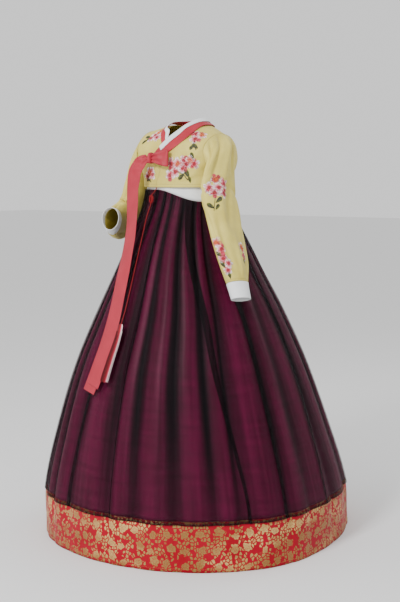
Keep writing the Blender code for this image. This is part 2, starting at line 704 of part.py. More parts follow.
def cord(name, path, finish):
    """A round cord on a smooth curve through its path's points."""
    places = [place(*p) for p in path]
    fine = [curve_point(places, i / 20) for i in range(20 * (len(path) - 1) + 1)]
    length = sum((b - a).length for a, b in zip(fine, fine[1:]))
    count = round(length / CORD_STEP)
    line = bpy.data.curves.new(name, "CURVE")
    line.dimensions = "3D"
    line.bevel_depth = CORD_RADIUS
    line.bevel_resolution = 2
    line.use_fill_caps = True
    spline = line.splines.new("POLY")
    spline.points.add(count)
    for i, point in enumerate(spline.points):
        point.co = (*curve_point(places, (len(path) - 1) * i / count), 1.0)
    line.materials.append(finish)
    HANBOK.objects.link(bpy.data.objects.new(name, line))


def tassel_point(row, across, deep):
    """A point of the tassel's section at a row, across and deep going from -1 to 1."""
    spot = TASSEL[row]
    return place(*spot.middle) + Vector((across * spot.half_width, deep * spot.half_depth, 0))


def make_tassel(finish):
    """A flat tassel: a head, and under it strands that stand apart below their roots in it."""
    corners = [(-1, -1), (1, -1), (1, 1), (-1, 1)]
    rim = [(2 * i / STRANDS_ACROSS - 1, -1) for i in range(STRANDS_ACROSS)]
    rim += [(1, 2 * i / STRANDS_DEEP - 1) for i in range(STRANDS_DEEP)]
    rim += [(1 - 2 * i / STRANDS_ACROSS, 1) for i in range(STRANDS_ACROSS)]
    rim += [(-1, 1 - 2 * i / STRANDS_DEEP) for i in range(STRANDS_DEEP)]
    points, faces, seen = [], [], {}

    def point(row, across, deep):
        key = (row, round(across, 6), round(deep, 6))
        if key not in seen:
            seen[key] = len(points)
            points.append(tassel_point(*key))
        return seen[key]

    rings = [[point(row, *spot) for spot in rim] for row in range(TASSEL_HEAD_ROWS)]
    faces.append(tuple(rings[0]))
    for upper, lower in zip(rings, rings[1:]):
        for j in range(len(rim)):
            after = (j + 1) % len(rim)
            faces.append((upper[j], upper[after], lower[after], lower[j]))
    for i in range(STRANDS_ACROSS):
        for k in range(STRANDS_DEEP):
            half = Vector((1 / STRANDS_ACROSS, 1 / STRANDS_DEEP))
            middle = Vector((2 * i * half.x - 1 + half.x, 2 * k * half.y - 1 + half.y))
            root = [point(TASSEL_HEAD_ROWS - 1, middle.x + a * half.x, middle.y + b * half.y) for a, b in corners]
            for row in range(TASSEL_HEAD_ROWS - 1, len(TASSEL)):
                level = []
                for a, b in corners:
                    level.append(len(points))
                    across, deep = middle.x + a * half.x * STRAND_SHARE, middle.y + b * half.y * STRAND_SHARE
                    points.append(tassel_point(row, across, deep))
                for j in range(4):
                    faces.append((root[j], root[(j + 1) % 4], level[(j + 1) % 4], level[j]))
                root = level
            faces.append(tuple(root))
    make_mesh("ornament_tassel", points, faces, finish)


def make_ornament(cord_finish, tassel_finish):
    cord("ornament_cord_top", TOP_CORD_PATH, cord_finish)
    cord("ornament_cord", LONG_CORD_PATH, cord_finish)
    rounded_knot("ornament_knot", ORNAMENT_KNOT, ORNAMENT_KNOT_HALF, cord_finish)
    make_tassel(tassel_finish)


for old in list(bpy.data.objects):
    bpy.data.objects.remove(old)
HANBOK = bpy.data.collections.new("Hanbok")
bpy.context.scene.collection.children.link(HANBOK)

olive_silk = material("Olive yellow silk", (0.58, 0.50, 0.24), 0.6)
coral_silk = material("Coral silk", (0.60, 0.14, 0.15), 0.55)
white_cotton = material("White cotton", (0.80, 0.80, 0.78), 0.7)
plum_satin = material("Plum satin", (0.13, 0.012, 0.05), 0.4)
black_organza = material("Black organza", (0.03, 0.01, 0.02), 0.5)
gold_brocade = material("Red and gold brocade", (0.55, 0.10, 0.07), 0.4)
red_cord = material("Red silk cord", (0.45, 0.02, 0.03), 0.5)
tassel_silk = material("Tassel silk", (0.75, 0.35, 0.38), 0.5)

for wearer_side in (1, -1):
    make_body(wearer_side, olive_silk)
make_sleeve(1, LEFT_SLEEVE, olive_silk, white_cotton)
make_sleeve(-1, RIGHT_SLEEVE, olive_silk, white_cotton)
make_collar(coral_silk, white_cotton)
make_ribbons(coral_silk)
make_waistband(white_cotton)
for quarter in range(len(QUARTERS)):
    make_skirt_quarter(quarter, plum_satin, gold_brocade)
make_overlay(black_organza)
make_ornament(red_cord, tassel_silk)
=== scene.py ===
# %% [markdown]
# A hanbok, dressed for its portrait
# The hanbok is a Korean dress in two parts: a short jacket, the jeogori, and a full skirt, the chima.
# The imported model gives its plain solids. This script lays the real cloth over them: fine folds, sheer
# organza, brocade, silk ribbons, embroidery and a hanging tassel.

import math
import random

import bpy
import numpy as np
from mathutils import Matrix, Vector
from mathutils.bvhtree import BVHTree


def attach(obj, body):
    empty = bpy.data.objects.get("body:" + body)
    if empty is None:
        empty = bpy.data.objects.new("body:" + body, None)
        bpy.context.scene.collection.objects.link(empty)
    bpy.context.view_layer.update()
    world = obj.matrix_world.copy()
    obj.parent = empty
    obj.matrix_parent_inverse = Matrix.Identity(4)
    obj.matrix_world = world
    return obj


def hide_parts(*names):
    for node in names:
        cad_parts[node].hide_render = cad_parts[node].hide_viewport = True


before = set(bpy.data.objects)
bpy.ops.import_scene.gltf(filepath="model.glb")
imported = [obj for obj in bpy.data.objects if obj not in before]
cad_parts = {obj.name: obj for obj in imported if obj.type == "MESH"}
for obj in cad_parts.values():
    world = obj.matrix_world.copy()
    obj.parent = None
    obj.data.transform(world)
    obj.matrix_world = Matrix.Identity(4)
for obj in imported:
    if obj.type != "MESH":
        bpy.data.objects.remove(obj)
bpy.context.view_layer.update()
print("solids:", len(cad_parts))

# %% [markdown]
# The camera
# A camera far away with a long lens keeps a standing figure's proportions, so it stands 4.2 m off at eye
# height and looks a little down. Its angle is set by where the skirt's hem and the shoulders fall in the
# picture. The small shift slides the frame sideways without turning the camera.

# %% Place the camera
HELD_HEIGHT = 1.440
CAMERA_TURN = math.radians(37.0)
CAMERA_DISTANCE = 4.2
CAMERA_HEIGHT = 1.255
CAMERA_TILT = math.radians(5.9)
FOCAL_PIXELS = 1200.0
FRAME_HEIGHT_PIXELS = 602
SHIFT_PIXELS = 14

camera_data = bpy.data.cameras.new("Camera")
camera_data.sensor_width = 36.0
camera_data.lens = FOCAL_PIXELS * camera_data.sensor_width / FRAME_HEIGHT_PIXELS
camera_data.shift_x = SHIFT_PIXELS / FRAME_HEIGHT_PIXELS
camera = bpy.data.objects.new("Camera", camera_data)
camera.location = (
    CAMERA_DISTANCE * math.sin(CAMERA_TURN),
    -CAMERA_DISTANCE * math.cos(CAMERA_TURN),
    CAMERA_HEIGHT - HELD_HEIGHT,
)
camera.rotation_euler = (math.pi / 2 - CAMERA_TILT, 0.0, CAMERA_TURN)
bpy.context.scene.collection.objects.link(camera)
bpy.context.scene.camera = camera
print("lens:", round(camera_data.lens, 1), "mm")

# %% [markdown]
# Curves and tables
# Cloth on a figure is easiest to describe by its sections. Each table below gives named sizes at a few
# heights, and a smooth curve through the rows gives every size in between. numpy works out thousands of
# points at once, which keeps the script quick.

# %% Read smooth values from tables
def smooth(share):
    """0 below 0, 1 above 1, and a smooth step between."""
    share = np.clip(share, 0.0, 1.0)
    return share * share * (3 - 2 * share)


class Profile:
    """Named columns against a first one, read anywhere on a smooth curve through the rows."""

    def __init__(self, columns, rows):
        table = np.array(sorted(rows), float)
        self.at = table[:, 0]
        self.columns = dict(zip(columns.split(), table[:, 1:].T))

    def read(self, at, column):
        """A column's value at any place along the first one."""
        values, last = self.columns[column], len(self.at) - 1
        at = np.clip(at, self.at[0], self.at[-1])
        low = np.clip(np.searchsorted(self.at, at, side="right") - 1, 0, last - 1)
        high = low + 1
        span = self.at[high] - self.at[low]
        share = (at - self.at[low]) / span

        def slope(a, b):
            return (values[b] - values[a]) / (self.at[b] - self.at[a]) * span

        first, final = slope(np.maximum(low - 1, 0), high), slope(low, np.minimum(high + 1, last))
        square, cube = share**2, share**3
        return (
            values[low] * (2 * cube - 3 * square + 1)
            + first * (cube - 2 * square + share)
            + values[high] * (3 * square - 2 * cube)
            + final * (cube - square)
        )


def curve_points(points, at):
    """Points at fractional places along a list of points, on a smooth curve through them."""
    points, at = np.asarray(points, float), np.asarray(at, float)
    last = len(points) - 1
    low = np.clip(at.astype(int), 0, last - 1)
    share = (at - low)[..., None]
    p0, p1, p2, p3 = (points[np.clip(low + step, 0, last)] for step in (-1, 0, 1, 2))
    return (
        p1 * 2 + (p2 - p0) * share + (p0 * 2 - p1 * 5 + p2 * 4 - p3) * share**2
        + (p1 * 3 - p0 - p2 * 3 + p3) * share**3
    ) / 2


def place(x, y, height):
    """Points given by their height above the floor, in the model's own frame."""
    x, y, height = np.broadcast_arrays(x, y, height)
    return np.stack([x, y, height - HELD_HEIGHT], -1).astype(float)


def unit(vectors):
    """The same directions, each one metre long."""
    return vectors / np.maximum(np.linalg.norm(vectors, axis=-1, keepdims=True), 1e-12)


def placed(points):
    """A list of x, y, height places as points."""
    table = np.array(points, float)
    return place(table[:, 0], table[:, 1], table[:, 2])


print("a smooth step a quarter of the way up:", round(float(smooth(0.25)), 3))

# %% [markdown]
# Cloth meshes
# A piece of cloth here is a grid of points: rows down the cloth, columns across it. The grid becomes quads,
# a UV map in metres that the weave follows, and a thin wall from a Solidify modifier. Creases are pressed
# into the grid by listed strokes, because real creases come one by one and never evenly.

# %% Measure and press a grid of points
def outward_of(grid, around=False, inside=None):
    """The direction out of the cloth at each point of a grid: away from the point inside, or else away from
    the middle of each row."""
    down = np.gradient(grid, axis=0)
    if around:
        wrapped = np.concatenate([grid[:, -1:], grid, grid[:, :1]], axis=1)
        across = (wrapped[:, 2:] - wrapped[:, :-2]) / 2
    else:
        across = np.gradient(grid, axis=1)
    normals = unit(np.cross(across, down))
    middle = grid.mean(axis=1, keepdims=True) if inside is None else np.asarray(inside, float)
    return normals * np.sign(((grid - middle) * normals).sum())


def lengths_along(points):
    """The way from the first point to each of them."""
    steps = np.linalg.norm(np.diff(points, axis=0), axis=-1)
    return np.concatenate([[0.0], np.cumsum(steps)])


def pressed(grid, places, strokes, around=None, inside=None):
    """The grid with ridges and creases. places gives each point's own (u, v). A stroke runs from one place
    to another: start u, v, end u, v, half width, and height, which is negative for a crease. It is strongest
    half way. around is the length of u after which a tube closes."""
    u, v = places
    lift = np.zeros(grid.shape[:2])
    for start_u, start_v, end_u, end_v, width, height in strokes:
        for turn in (0.0,) if around is None else (-around, 0.0, around):
            along = np.array([end_u - start_u, end_v - start_v])
            size = max(1e-9, float(along @ along))
            share = np.clip(((u - start_u - turn) * along[0] + (v - start_v) * along[1]) / size, 0, 1)
            away = np.hypot(u - start_u - turn - share * along[0], v - start_v - share * along[1])
            fade = 0.35 + 0.65 * np.sin(math.pi * share) ** 0.7
            lift += height * fade * np.exp(-((away / width) ** 2))
    return grid + outward_of(grid, around is not None, inside) * lift[..., None]


TRIANGLE = np.array([(0, 0, 0), (3, 0, 0), (3, 4, 0), (0, 0, 0)])
print("the way along a triangle:", lengths_along(TRIANGLE))

# %% [markdown]
# From grid to cloth
# The grid's points become the corners of quads. Which way a quad looks depends on the order of its corners,
# so the order is turned round where the cloth would show its wrong side. The Solidify modifier then gives
# the wall on the inner side, so that the outer side stays where it was drawn.

# %% Turn a grid into a piece of cloth
DRAWN_WALL = 0.0007


def quads(table):
    """The four corners of every face of a grid, from a table with one entry for each point."""
    return [table[:-1, :-1], table[:-1, 1:], table[1:, 1:], table[1:, :-1]]


def cloth(name, grid, finish, slot, around=False, facing=None, inside=None, wall=DRAWN_WALL, u=None,
          v=None, recipe=None, **kept):
    """A thin cloth object through a grid of points. Its outer side looks towards facing, a direction, or away
    from inside, a point, or else away from the rows' middles. kept are values for each point that its finish
    reads, and recipe is a Geometry Nodes group that shapes it further."""
    rows, columns = grid.shape[:2]
    index = np.arange(rows * columns).reshape(rows, columns)
    if u is None:
        middle = grid[rows // 2]
        u = lengths_along(np.concatenate([middle, middle[:1]]) if around else middle)
    if v is None:
        v = lengths_along(grid[:, columns // 2])
    if around:
        index = np.concatenate([index, index[:, :1]], axis=1)
    corner = np.stack(quads(index), -1).reshape(-1, 4)
    us, vs = np.broadcast_arrays(u[None, :], v[:, None])
    uv = np.stack(quads(np.stack([us, -vs], -1)), -2).reshape(-1, 4, 2)
    flat = grid.reshape(-1, 3)
    centre = flat[corner].mean(axis=1)
    outward = np.cross(flat[corner[:, 2]] - flat[corner[:, 0]], flat[corner[:, 3]] - flat[corner[:, 1]])
    if facing is not None:
        seen = (outward @ np.asarray(facing, float)).sum()
    elif inside is not None:
        seen = ((centre - np.asarray(inside, float)) * outward).sum()
    else:
        row_middle = np.repeat(grid.mean(axis=1)[:-1], len(corner) // (rows - 1), axis=0)
        seen = ((centre - row_middle) * outward).sum()
    if seen < 0:
        corner, uv = corner[:, ::-1], uv[:, ::-1]
    mesh = bpy.data.meshes.new(name)
    mesh.from_pydata(flat, [], corner)
    mesh.uv_layers.new(name="UVMap").data.foreach_set("uv", uv.reshape(-1).astype(np.float32))
    mesh.shade_smooth()
    for label, values in kept.items():
        layer = mesh.attributes.new(label, "FLOAT", "POINT")
        layer.data.foreach_set("value", np.asarray(values, np.float32).reshape(-1))
    if recipe:
        mesh = recipe.applied(name, mesh, Finish=finish)
    return dress(name, mesh, finish, wall)


def dress(name, mesh, finish, wall=0.0):
    """Links a mesh as a piece of the garment, in its finish."""
    if finish.name not in mesh.materials:
        mesh.materials.append(finish)
    piece = bpy.data.objects.new(name, mesh)
    bpy.context.scene.collection.objects.link(piece)
    if wall:
        solid = piece.modifiers.new("Cloth wall", "SOLIDIFY")
        solid.thickness, solid.offset, solid.use_rim = wall, -1.0, True
    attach(piece, "root")
    print(name, "has", len(mesh.polygons), "faces")
    return piece


print("cloth is drawn", DRAWN_WALL * 1000, "mm thick where nothing else is said")

# %% [markdown]
# Shader sums in Python
# A woven pattern is a sum: sines for threads, distances for petals. Channel wraps one socket of the shader
# tree, so that a line such as 1 - threads * 0.5 adds the Math nodes by itself. Steps and sines are methods,
# so a pattern reads from left to right.

# %% Write shader sums
class Channel:
    """One output of a node that takes part in Python sums."""

    def __init__(self, finish, socket):
        self.finish, self.socket = finish, socket

    def math(self, operation, *values):
        made = self.finish.tree.nodes.new("ShaderNodeMath")
        made.operation = operation
        for socket, value in zip(made.inputs, values):
            self.finish.feed(socket, value)
        return Channel(self.finish, made.outputs[0])

    def __add__(self, other):
        return self.math("ADD", self, other)

    __radd__ = __add__

    def __sub__(self, other):
        return self.math("SUBTRACT", self, other)

    def __rsub__(self, other):
        return self.math("SUBTRACT", other, self)

    def __mul__(self, other):
        return self.math("MULTIPLY", self, other)

    __rmul__ = __mul__

    def __truediv__(self, other):
        return self.math("DIVIDE", self, other)

    def __pow__(self, other):
        return self.math("POWER", self, other)

    def sin(self):
        return self.math("SINE", self)

    def absolute(self):
        return self.math("ABSOLUTE", self)

    def lower(self, other):
        return self.math("MINIMUM", self, other)

    def upper(self, other):
        return self.math("MAXIMUM", self, other)

    def angle_from(self, other):
        return self.math("ARCTAN2", self, other)

    def step(self, low, high):
        """0 below low, 1 above high and smooth between."""
        inputs = {"Value": self, "From Min": low, "From Max": high}
        return self.finish.node("ShaderNodeMapRange", {"interpolation_type": "SMOOTHSTEP"}, inputs)


print("sockets can now be added, taken away, multiplied, divided and raised to a power")

# %% [markdown]
# Finishes
# A finish is one material. Everything but sums goes through a single method, which takes the node's type, its
# settings and what goes into its sockets. Values that are the same all over the cloth are set on the shader
# itself, and only what changes over the surface is linked.

# %% Write finishes
def colour(red, green, blue):
    """A colour given as it shows on a screen, 0 to 255, as the linear values that shaders use."""
    shares = [c / 255 for c in (red, green, blue)]
    return tuple(s / 12.92 if s < 0.04045 else ((s + 0.055) / 1.055) ** 2.4 for s in shares) + (1.0,)


class Nodes:
    """A node tree in the making, with one method for every kind of node."""

    def feed(self, socket, value):
        if isinstance(value, Channel):
            self.tree.links.new(value.socket, socket)
        else:
            socket.default_value = value

    def node(self, kind, settings=None, inputs=None, output=0):
        made = self.tree.nodes.new(kind)
        for key, value in (settings or {}).items():
            setattr(made, key, value)
        for key, value in (inputs or {}).items():
            self.feed(made.inputs[key], value)
        return Channel(self, made.outputs[output])

    def stretched(self, vector, scale):
        return self.node("ShaderNodeVectorMath", {"operation": "MULTIPLY"}, {0: vector, 1: scale})

    def without(self, vector, taken):
        return self.node("ShaderNodeVectorMath", {"operation": "SUBTRACT"}, {0: vector, 1: taken})


class Finish(Nodes):
    """A material in the making: constant values are set on its Principled shader at once."""

    def __init__(self, name, **constants):
        self.material = bpy.data.materials.new(name)
        self.material.use_nodes = True
        self.tree = self.material.node_tree
        self.shader = self.tree.nodes["Principled BSDF"]
        for socket, value in constants.items():
            self.shader.inputs[socket.replace("_", " ")].default_value = value

    def attribute(self, name, output="Fac"):
        return self.node("ShaderNodeAttribute", {"attribute_name": name}, None, output)

    def uv(self):
        """The UV map and its two lengths in metres."""
        both = self.node("ShaderNodeUVMap", {"uv_map": "UVMap"})
        return both, self.part(both, "X"), self.part(both, "Y")

    def part(self, vector, axis):
        return self.node("ShaderNodeSeparateXYZ", None, {"Vector": vector}, axis)

    def noise(self, vector, scale, detail=2.0):
        inputs = {"Vector": vector, "Scale": scale, "Detail": detail}
        return self.node("ShaderNodeTexNoise", None, inputs, "Fac")

    def mix(self, share, first, second):
        """Two colours mixed by a share."""
        inputs = {"Factor": share, 6: first, 7: second}
        return self.node("ShaderNodeMix", {"data_type": "RGBA"}, inputs, 2)

    def threads(self, u, v, pitch):
        """The height of a plain weave whose threads lie a pitch apart."""
        turn = math.pi / pitch
        warp, weft = (u * turn).sin(), (v * turn).sin()
        return warp.absolute() * 0.5 + weft.absolute() * 0.5 + warp * weft * 0.25

    def bump(self, height, strength, distance):
        inputs = {"Height": height, "Strength": strength, "Distance": distance}
        self.feed(self.shader.inputs["Normal"], self.node("ShaderNodeBump", None, inputs))

    def set(self, **channels):
        for socket, value in channels.items():
            self.feed(self.shader.inputs[socket.replace("_", " ")], value)


print("mid grey as a shader sees it:", [round(share, 3) for share in colour(128, 128, 128)])

# %% [markdown]
# Recipes in Geometry Nodes
# Threads and stitches repeat by the thousand, each in its own place. Geometry Nodes grows them from a few
# guide lines: a group gets its guides and its named inputs, and gives back one real mesh. The result is
# turned into a plain mesh at once, so that the scene keeps no live modifier for it.

# %% Write Geometry Nodes groups
VALUE_KINDS = {1: ("FLOAT", "value"), 3: ("FLOAT_VECTOR", "vector"), 4: ("FLOAT_COLOR", "color")}


class Recipe(Nodes):
    """A Geometry Nodes group with named inputs, which grows a piece from guide lines."""

    def __init__(self, name, **inputs):
        self.tree = bpy.data.node_groups.new(name, "GeometryNodeTree")
        sockets = self.tree.interface
        sockets.new_socket("Geometry", in_out="INPUT", socket_type="NodeSocketGeometry")
        sockets.new_socket("Geometry", in_out="OUTPUT", socket_type="NodeSocketGeometry")
        for label, value in inputs.items():
            socket = sockets.new_socket(label, in_out="INPUT", socket_type="NodeSocketFloat")
            socket.default_value = value
        sockets.new_socket("Finish", in_out="INPUT", socket_type="NodeSocketMaterial")
        self.given, self.result = (self.tree.nodes.new("NodeGroup" + end) for end in ("Input", "Output"))

    def input(self, label):
        return Channel(self, self.given.outputs[label])

    def attribute(self, name, kind="FLOAT"):
        return self.node("GeometryNodeInputNamedAttribute", {"data_type": kind}, {"Name": name})

    def moved(self, geometry, offset):
        return self.node("GeometryNodeSetPosition", None, {"Geometry": geometry, "Offset": offset})

    def tubes(self, curves, radius, sides=3):
        """Round threads along curves."""
        ring = self.node("GeometryNodeCurvePrimitiveCircle", None, {"Resolution": sides, "Radius": radius})
        inputs = {"Curve": curves, "Profile Curve": ring, "Fill Caps": True}
        return self.node("GeometryNodeCurveToMesh", None, inputs)

    def serve(self, geometry):
        """The last steps: real geometry, smooth, in its finish."""
        real = self.node("GeometryNodeRealizeInstances", None, {"Geometry": geometry})
        smooth_faces = self.node("GeometryNodeSetShadeSmooth", None, {"Geometry": real})
        inputs = {"Geometry": smooth_faces, "Material": self.input("Finish")}
        done = self.node("GeometryNodeSetMaterial", None, inputs)
        self.tree.links.new(done.socket, self.result.inputs["Geometry"])

    def applied(self, name, guide, **inputs):
        """The mesh that the group makes of a guide. Its inputs are set before it runs for the first time."""
        source = bpy.data.objects.new(name + "_guide", guide)
        bpy.context.scene.collection.objects.link(source)
        modifier = source.modifiers.new("Recipe", "NODES")
        modifier.node_group = self.tree
        for item in self.tree.interface.items_tree:
            if item.in_out == "INPUT" and item.name in inputs:
                modifier[item.identifier] = inputs[item.name]
        graph = bpy.context.evaluated_depsgraph_get()
        mesh = bpy.data.meshes.new_from_object(source.evaluated_get(graph), depsgraph=graph)
        source.modifiers.remove(modifier)
        bpy.data.objects.remove(source)
        mesh.name = name
        return mesh

    def grow(self, name, guide, slot, **inputs):
        """A piece of its own, grown from a guide."""
        mesh = self.applied(name, guide, **inputs)
        return dress(name, mesh, inputs["Finish"])


def guide_lines(lines, **attributes):
    """A mesh of separate lines for a recipe. Each attribute has one value for each point of all the lines."""
    points = np.concatenate([np.asarray(line, float) for line in lines])
    edges, base = [], 0
    for line in lines:
        edges += [(base + i, base + i + 1) for i in range(len(line) - 1)]
        base += len(line)
    mesh = bpy.data.meshes.new("guide")
    mesh.from_pydata(points, edges, [])
    for name, values in attributes.items():
        values = np.asarray(values, np.float32)
        kind, field = VALUE_KINDS[1 if values.ndim == 1 else values.shape[1]]
        mesh.attributes.new(name, kind, "POINT").data.foreach_set(field, values.reshape(-1))
    return mesh


print("values that a guide's points can carry:", [kind for kind, _ in VALUE_KINDS.values()])

# %% [markdown]
# The silk of the jacket
# The jacket is a crisp plain silk in a pale olive yellow, with the small uneven ribs, or slubs, of raw silk.
# Threads, slubs and a slow change of shade are three layers of one pattern on the UV map.

# %% Make the silks and cottons
SILK_PITCH = 0.0007
RIB_PITCH = 0.0016


def silk(name, base, deep, roughness, sheen, slub=0.5, rib=None):
    """A plain weave with slubs, and with raised ribs where rib gives their distance."""
    made = Finish(name, Sheen_Weight=sheen, Sheen_Roughness=0.4, Specular_IOR_Level=0.35)
    both, u, v = made.uv()
    weave = made.threads(u, v, SILK_PITCH)
    slubs = made.noise(made.stretched(both, (60.0, 900.0, 1.0)), 1.0, 3.0)
    cross = made.noise(made.stretched(both, (900.0, 50.0, 1.0)), 1.0, 3.0)
    slow = made.noise(both, 14.0, 3.0)
    shade = (slow * 0.6 + slubs * 0.35 * slub + cross * 0.2 + weave * 0.15).step(0.25, 0.95)
    height = weave * 0.3 + slubs * slub + cross * 0.4
    if rib:
        ribs = (v * (math.pi / rib)).sin().absolute()
        shade = shade * 0.6 + ribs * 0.4
        height = height * 0.4 + ribs
    made.set(
        Base_Color=made.mix(shade, deep, base),
        Roughness=0.08 * slow + (roughness - 0.04) + weave * 0.04,
    )
    made.bump(height, 0.35, 0.0006)
    return made.material


olive_silk = silk("Olive yellow silk", colour(222, 208, 112), colour(190, 172, 76), 0.62, 0.05)
coral_silk = silk("Ribbed coral silk", colour(186, 46, 64), colour(138, 20, 36), 0.5, 0.04, 0.3,
                  rib=RIB_PITCH)
collar_silk = silk("Coral collar silk", colour(190, 44, 60), colour(152, 26, 42), 0.52, 0.04, 0.3)
white_cotton = silk("White cotton", colour(240, 241, 240), colour(214, 217, 220), 0.72, 0.05, 0.6)
print("finishes so far:", [material.name for material in (olive_silk, coral_silk, collar_silk, white_cotton)])

# %% [markdown]
# Satin under organza
# The skirt is plum satin under a layer of sheer black organza. Organza is drawn as it is: a real second
# surface that lets half the light through. Where it is folded into a pleat, three layers lie together and
# the skirt turns nearly black. Between two folds and in the short tucks under the gathered seam, the
# finishes read a painted shade: the satin's colour darkens there and the organza grows denser. Along the
# organza's doubled hem the same value stands for its real second layer.

# %% Make the satin and the organza
ORGANZA_PITCH = 0.0008
COVER = 0.40


def make_satin():
    made = Finish("Plum satin", Specular_IOR_Level=0.22)
    both, *_ = made.uv()
    along = made.noise(made.stretched(both, (14.0, 2.0, 1.0)), 1.0, 3.0)
    fine = made.noise(made.stretched(both, (1500.0, 90.0, 1.0)), 1.0, 2.0)
    ripple = made.noise(made.stretched(both, (7.0, 60.0, 1.0)), 1.0, 4.0)
    shade = (along * 0.6 + ripple * 0.3 + fine * 0.1).step(0.3, 0.75)
    lit = made.mix(shade, colour(92, 2, 46), colour(136, 12, 76))
    # Painted shade: in the hollows between folds and the tucks under the seam, the depth attribute darkens
    # the satin's colour towards near black.
    deep = made.attribute("depth")
    made.set(Base_Color=made.mix(deep * 0.85, lit, colour(22, 0, 8)), Roughness=0.42 + along * 0.12)
    made.bump(fine + ripple * 0.3, 0.15, 0.0005)
    return made.material


def make_organza():
    """Sheer cloth: its threads cover a share of what lies behind, and a moire runs over them."""
    made = Finish("Black organza", Specular_IOR_Level=0.12, Roughness=0.7)
    both, u, v = made.uv()
    weave = made.threads(u, v, ORGANZA_PITCH)
    ripple = made.noise(made.stretched(both, (5.0, 85.0, 1.0)), 1.0, 3.0)
    streak = made.noise(made.stretched(both, (75.0, 1.6, 1.0)), 1.0, 3.0)
    slow = made.noise(both, 12.0, 2.0)
    moire = (ripple * 0.7 + streak * 0.3).step(0.35, 0.7)
    cover = COVER + 0.12 * (streak.step(0.4, 0.7) - 0.5) + moire * 0.08 + weave * 0.04
    # Painted shade: the depth attribute makes the organza denser in the hollows between folds and the tucks
    # under the seam; at the doubled hem it stands for the real second layer.
    cover = cover + made.attribute("depth") * 0.4
    made.set(Base_Color=made.mix(slow, colour(5, 3, 6), colour(13, 8, 12)), Alpha=cover)
    made.bump(weave, 0.2, 0.0004)
    return made.material


plum_satin = make_satin()
black_organza = make_organza()
print("one layer of organza covers about", COVER, "of the satin, and two layers", 1 - (1 - COVER) ** 2)

# %% [markdown]
# The brocade
# Brocade shows its pattern in raised gold threads on red silk. A Voronoi texture scatters the flowers: its
# Position output is the middle of the nearest flower, and the angle and the distance from there draw the
# petals. Noise bends the outlines, because woven flowers are never quite round, and a finer Voronoi texture
# fills the gaps with small leaves.

# %% Draw the brocade's flowers
FLOWERS_PER_METRE = 19.0
FLOWER_PETALS = 5


def outline(x, y, reach, turn, depth):
    """How far inside a flower's outline a point lies, over its reach."""
    far = (x * x + y * y) ** 0.5
    wave = (y.angle_from(x) * (FLOWER_PETALS / 2) + turn).sin().absolute()
    return (wave * depth + (1 - depth)) - far / reach


def cells(made, grid, randomness, feature="F1", output="Color"):
    """A scatter of cells: the middle, the edge or a random colour of the one that a point lies in."""
    settings = {"voronoi_dimensions": "2D", "feature": feature}
    inputs = {"Vector": grid, "Scale": 1.0, "Randomness": randomness}
    return made.node("ShaderNodeTexVoronoi", settings, inputs, output)


def flowers(made, both):
    """Where the flowers are gold, from 0 to 1, and where they keep the leaves away."""
    grid = made.stretched(both, (FLOWERS_PER_METRE, FLOWERS_PER_METRE, 1.0))
    cell = cells(made, grid, 0.45)
    away = made.without(grid, cells(made, grid, 0.45, output="Position"))
    turn = made.part(cell, "X") * 6.28
    bent_x = made.part(away, "X") + made.noise(both, 74.0, 1.0) * 0.30 - 0.15
    bent_y = made.part(away, "Y") + made.noise(both, 61.0, 1.0) * 0.30 - 0.15
    sine, cosine = turn.sin(), (turn + math.pi / 2).sin()
    x = bent_x * cosine + bent_y * sine
    y = (bent_y * cosine - bent_x * sine) * 1.3
    size = made.part(cell, "Y") * 0.14 + 0.26
    outer = outline(x, y, size, turn, 0.26)
    inner = outline(x, y, size * 0.55, turn + 0.8, 0.4)
    veins = (y.angle_from(x) * 9 + turn * 3).sin().step(0.3, 0.9) * outer.step(0.04, 0.2)
    ring = inner.step(0.0, 0.1) * (1 - inner.step(0.2, 0.42))
    return outer.step(0.0, 0.06) * (1 - veins * 0.35) * (1 - ring * 0.45), outer.step(-0.16, -0.10)


def small_leaves(made, both):
    grid = made.stretched(both, (FLOWERS_PER_METRE * 5.0, FLOWERS_PER_METRE * 4.2, 1.0))
    edge = cells(made, grid, 0.95, "DISTANCE_TO_EDGE", 0)
    tone = made.part(cells(made, grid, 0.95), "Z")
    return edge.step(0.12, 0.17) * tone.step(0.36, 0.42)


print("one brocade flower to every", round(1000 / FLOWERS_PER_METRE), "mm")

# %% [markdown]
# Gold and red threads
# The gold is a little metallic and the ground is not, so light picks out the pattern. Fine sines give the
# gold its threads and the ground its slanting twill, and both raise the surface through a Bump node. Broad
# patches of pale cream in the gold's colour are painted highlights.

# %% Make the brocade
GOLD_PITCH = 0.0007
TWILL_PITCH = 0.0011


def make_brocade():
    made = Finish("Red and gold brocade", Specular_IOR_Level=0.14)
    both, u, v = made.uv()
    bloom, halo = flowers(made, both)
    gold = bloom.upper(small_leaves(made, both) * (1 - halo))
    threads = (v * (math.pi / GOLD_PITCH)).sin().absolute()
    twill = ((u + v) * (math.pi / TWILL_PITCH)).sin().absolute()
    slow = made.noise(both, 11.0, 3.0)
    ground = made.mix(slow, colour(138, 0, 10), colour(176, 0, 42))
    # Painted highlight: broad patches where the gold's colour turns pale cream, added to the threads' real
    # tone and random shade.
    painted_glint = made.noise(made.stretched(both, (3.0, 9.0, 1.0)), 1.0, 2.0).step(0.48, 0.68)
    gold_tone_and_painted_glint = threads * 0.2 + slow * 0.25 + painted_glint * 0.55
    thread_gold = made.mix(gold_tone_and_painted_glint, colour(104, 78, 30), colour(220, 188, 116))
    made.set(
        Base_Color=made.mix(gold * 0.95, ground, thread_gold),
        Metallic=gold * 0.25,
        Roughness=0.46 - gold * 0.1 + threads * 0.08,
    )
    made.bump(gold + threads * 0.12 + twill * 0.12 * (1 - gold), 0.6, 0.0007)
    return made.material


gold_brocade = make_brocade()
print("gold threads lie", GOLD_PITCH * 1000, "mm apart")

# %% [markdown]
# The skirt's form
# Seen from above, the skirt is an oval that opens from the chest to a wide hem with a small train behind.
# Twenty-four soft folds run down it, each a rounded ridge between two sharp valleys, and no two of them
# are the same size. The tables are in heights above the floor.

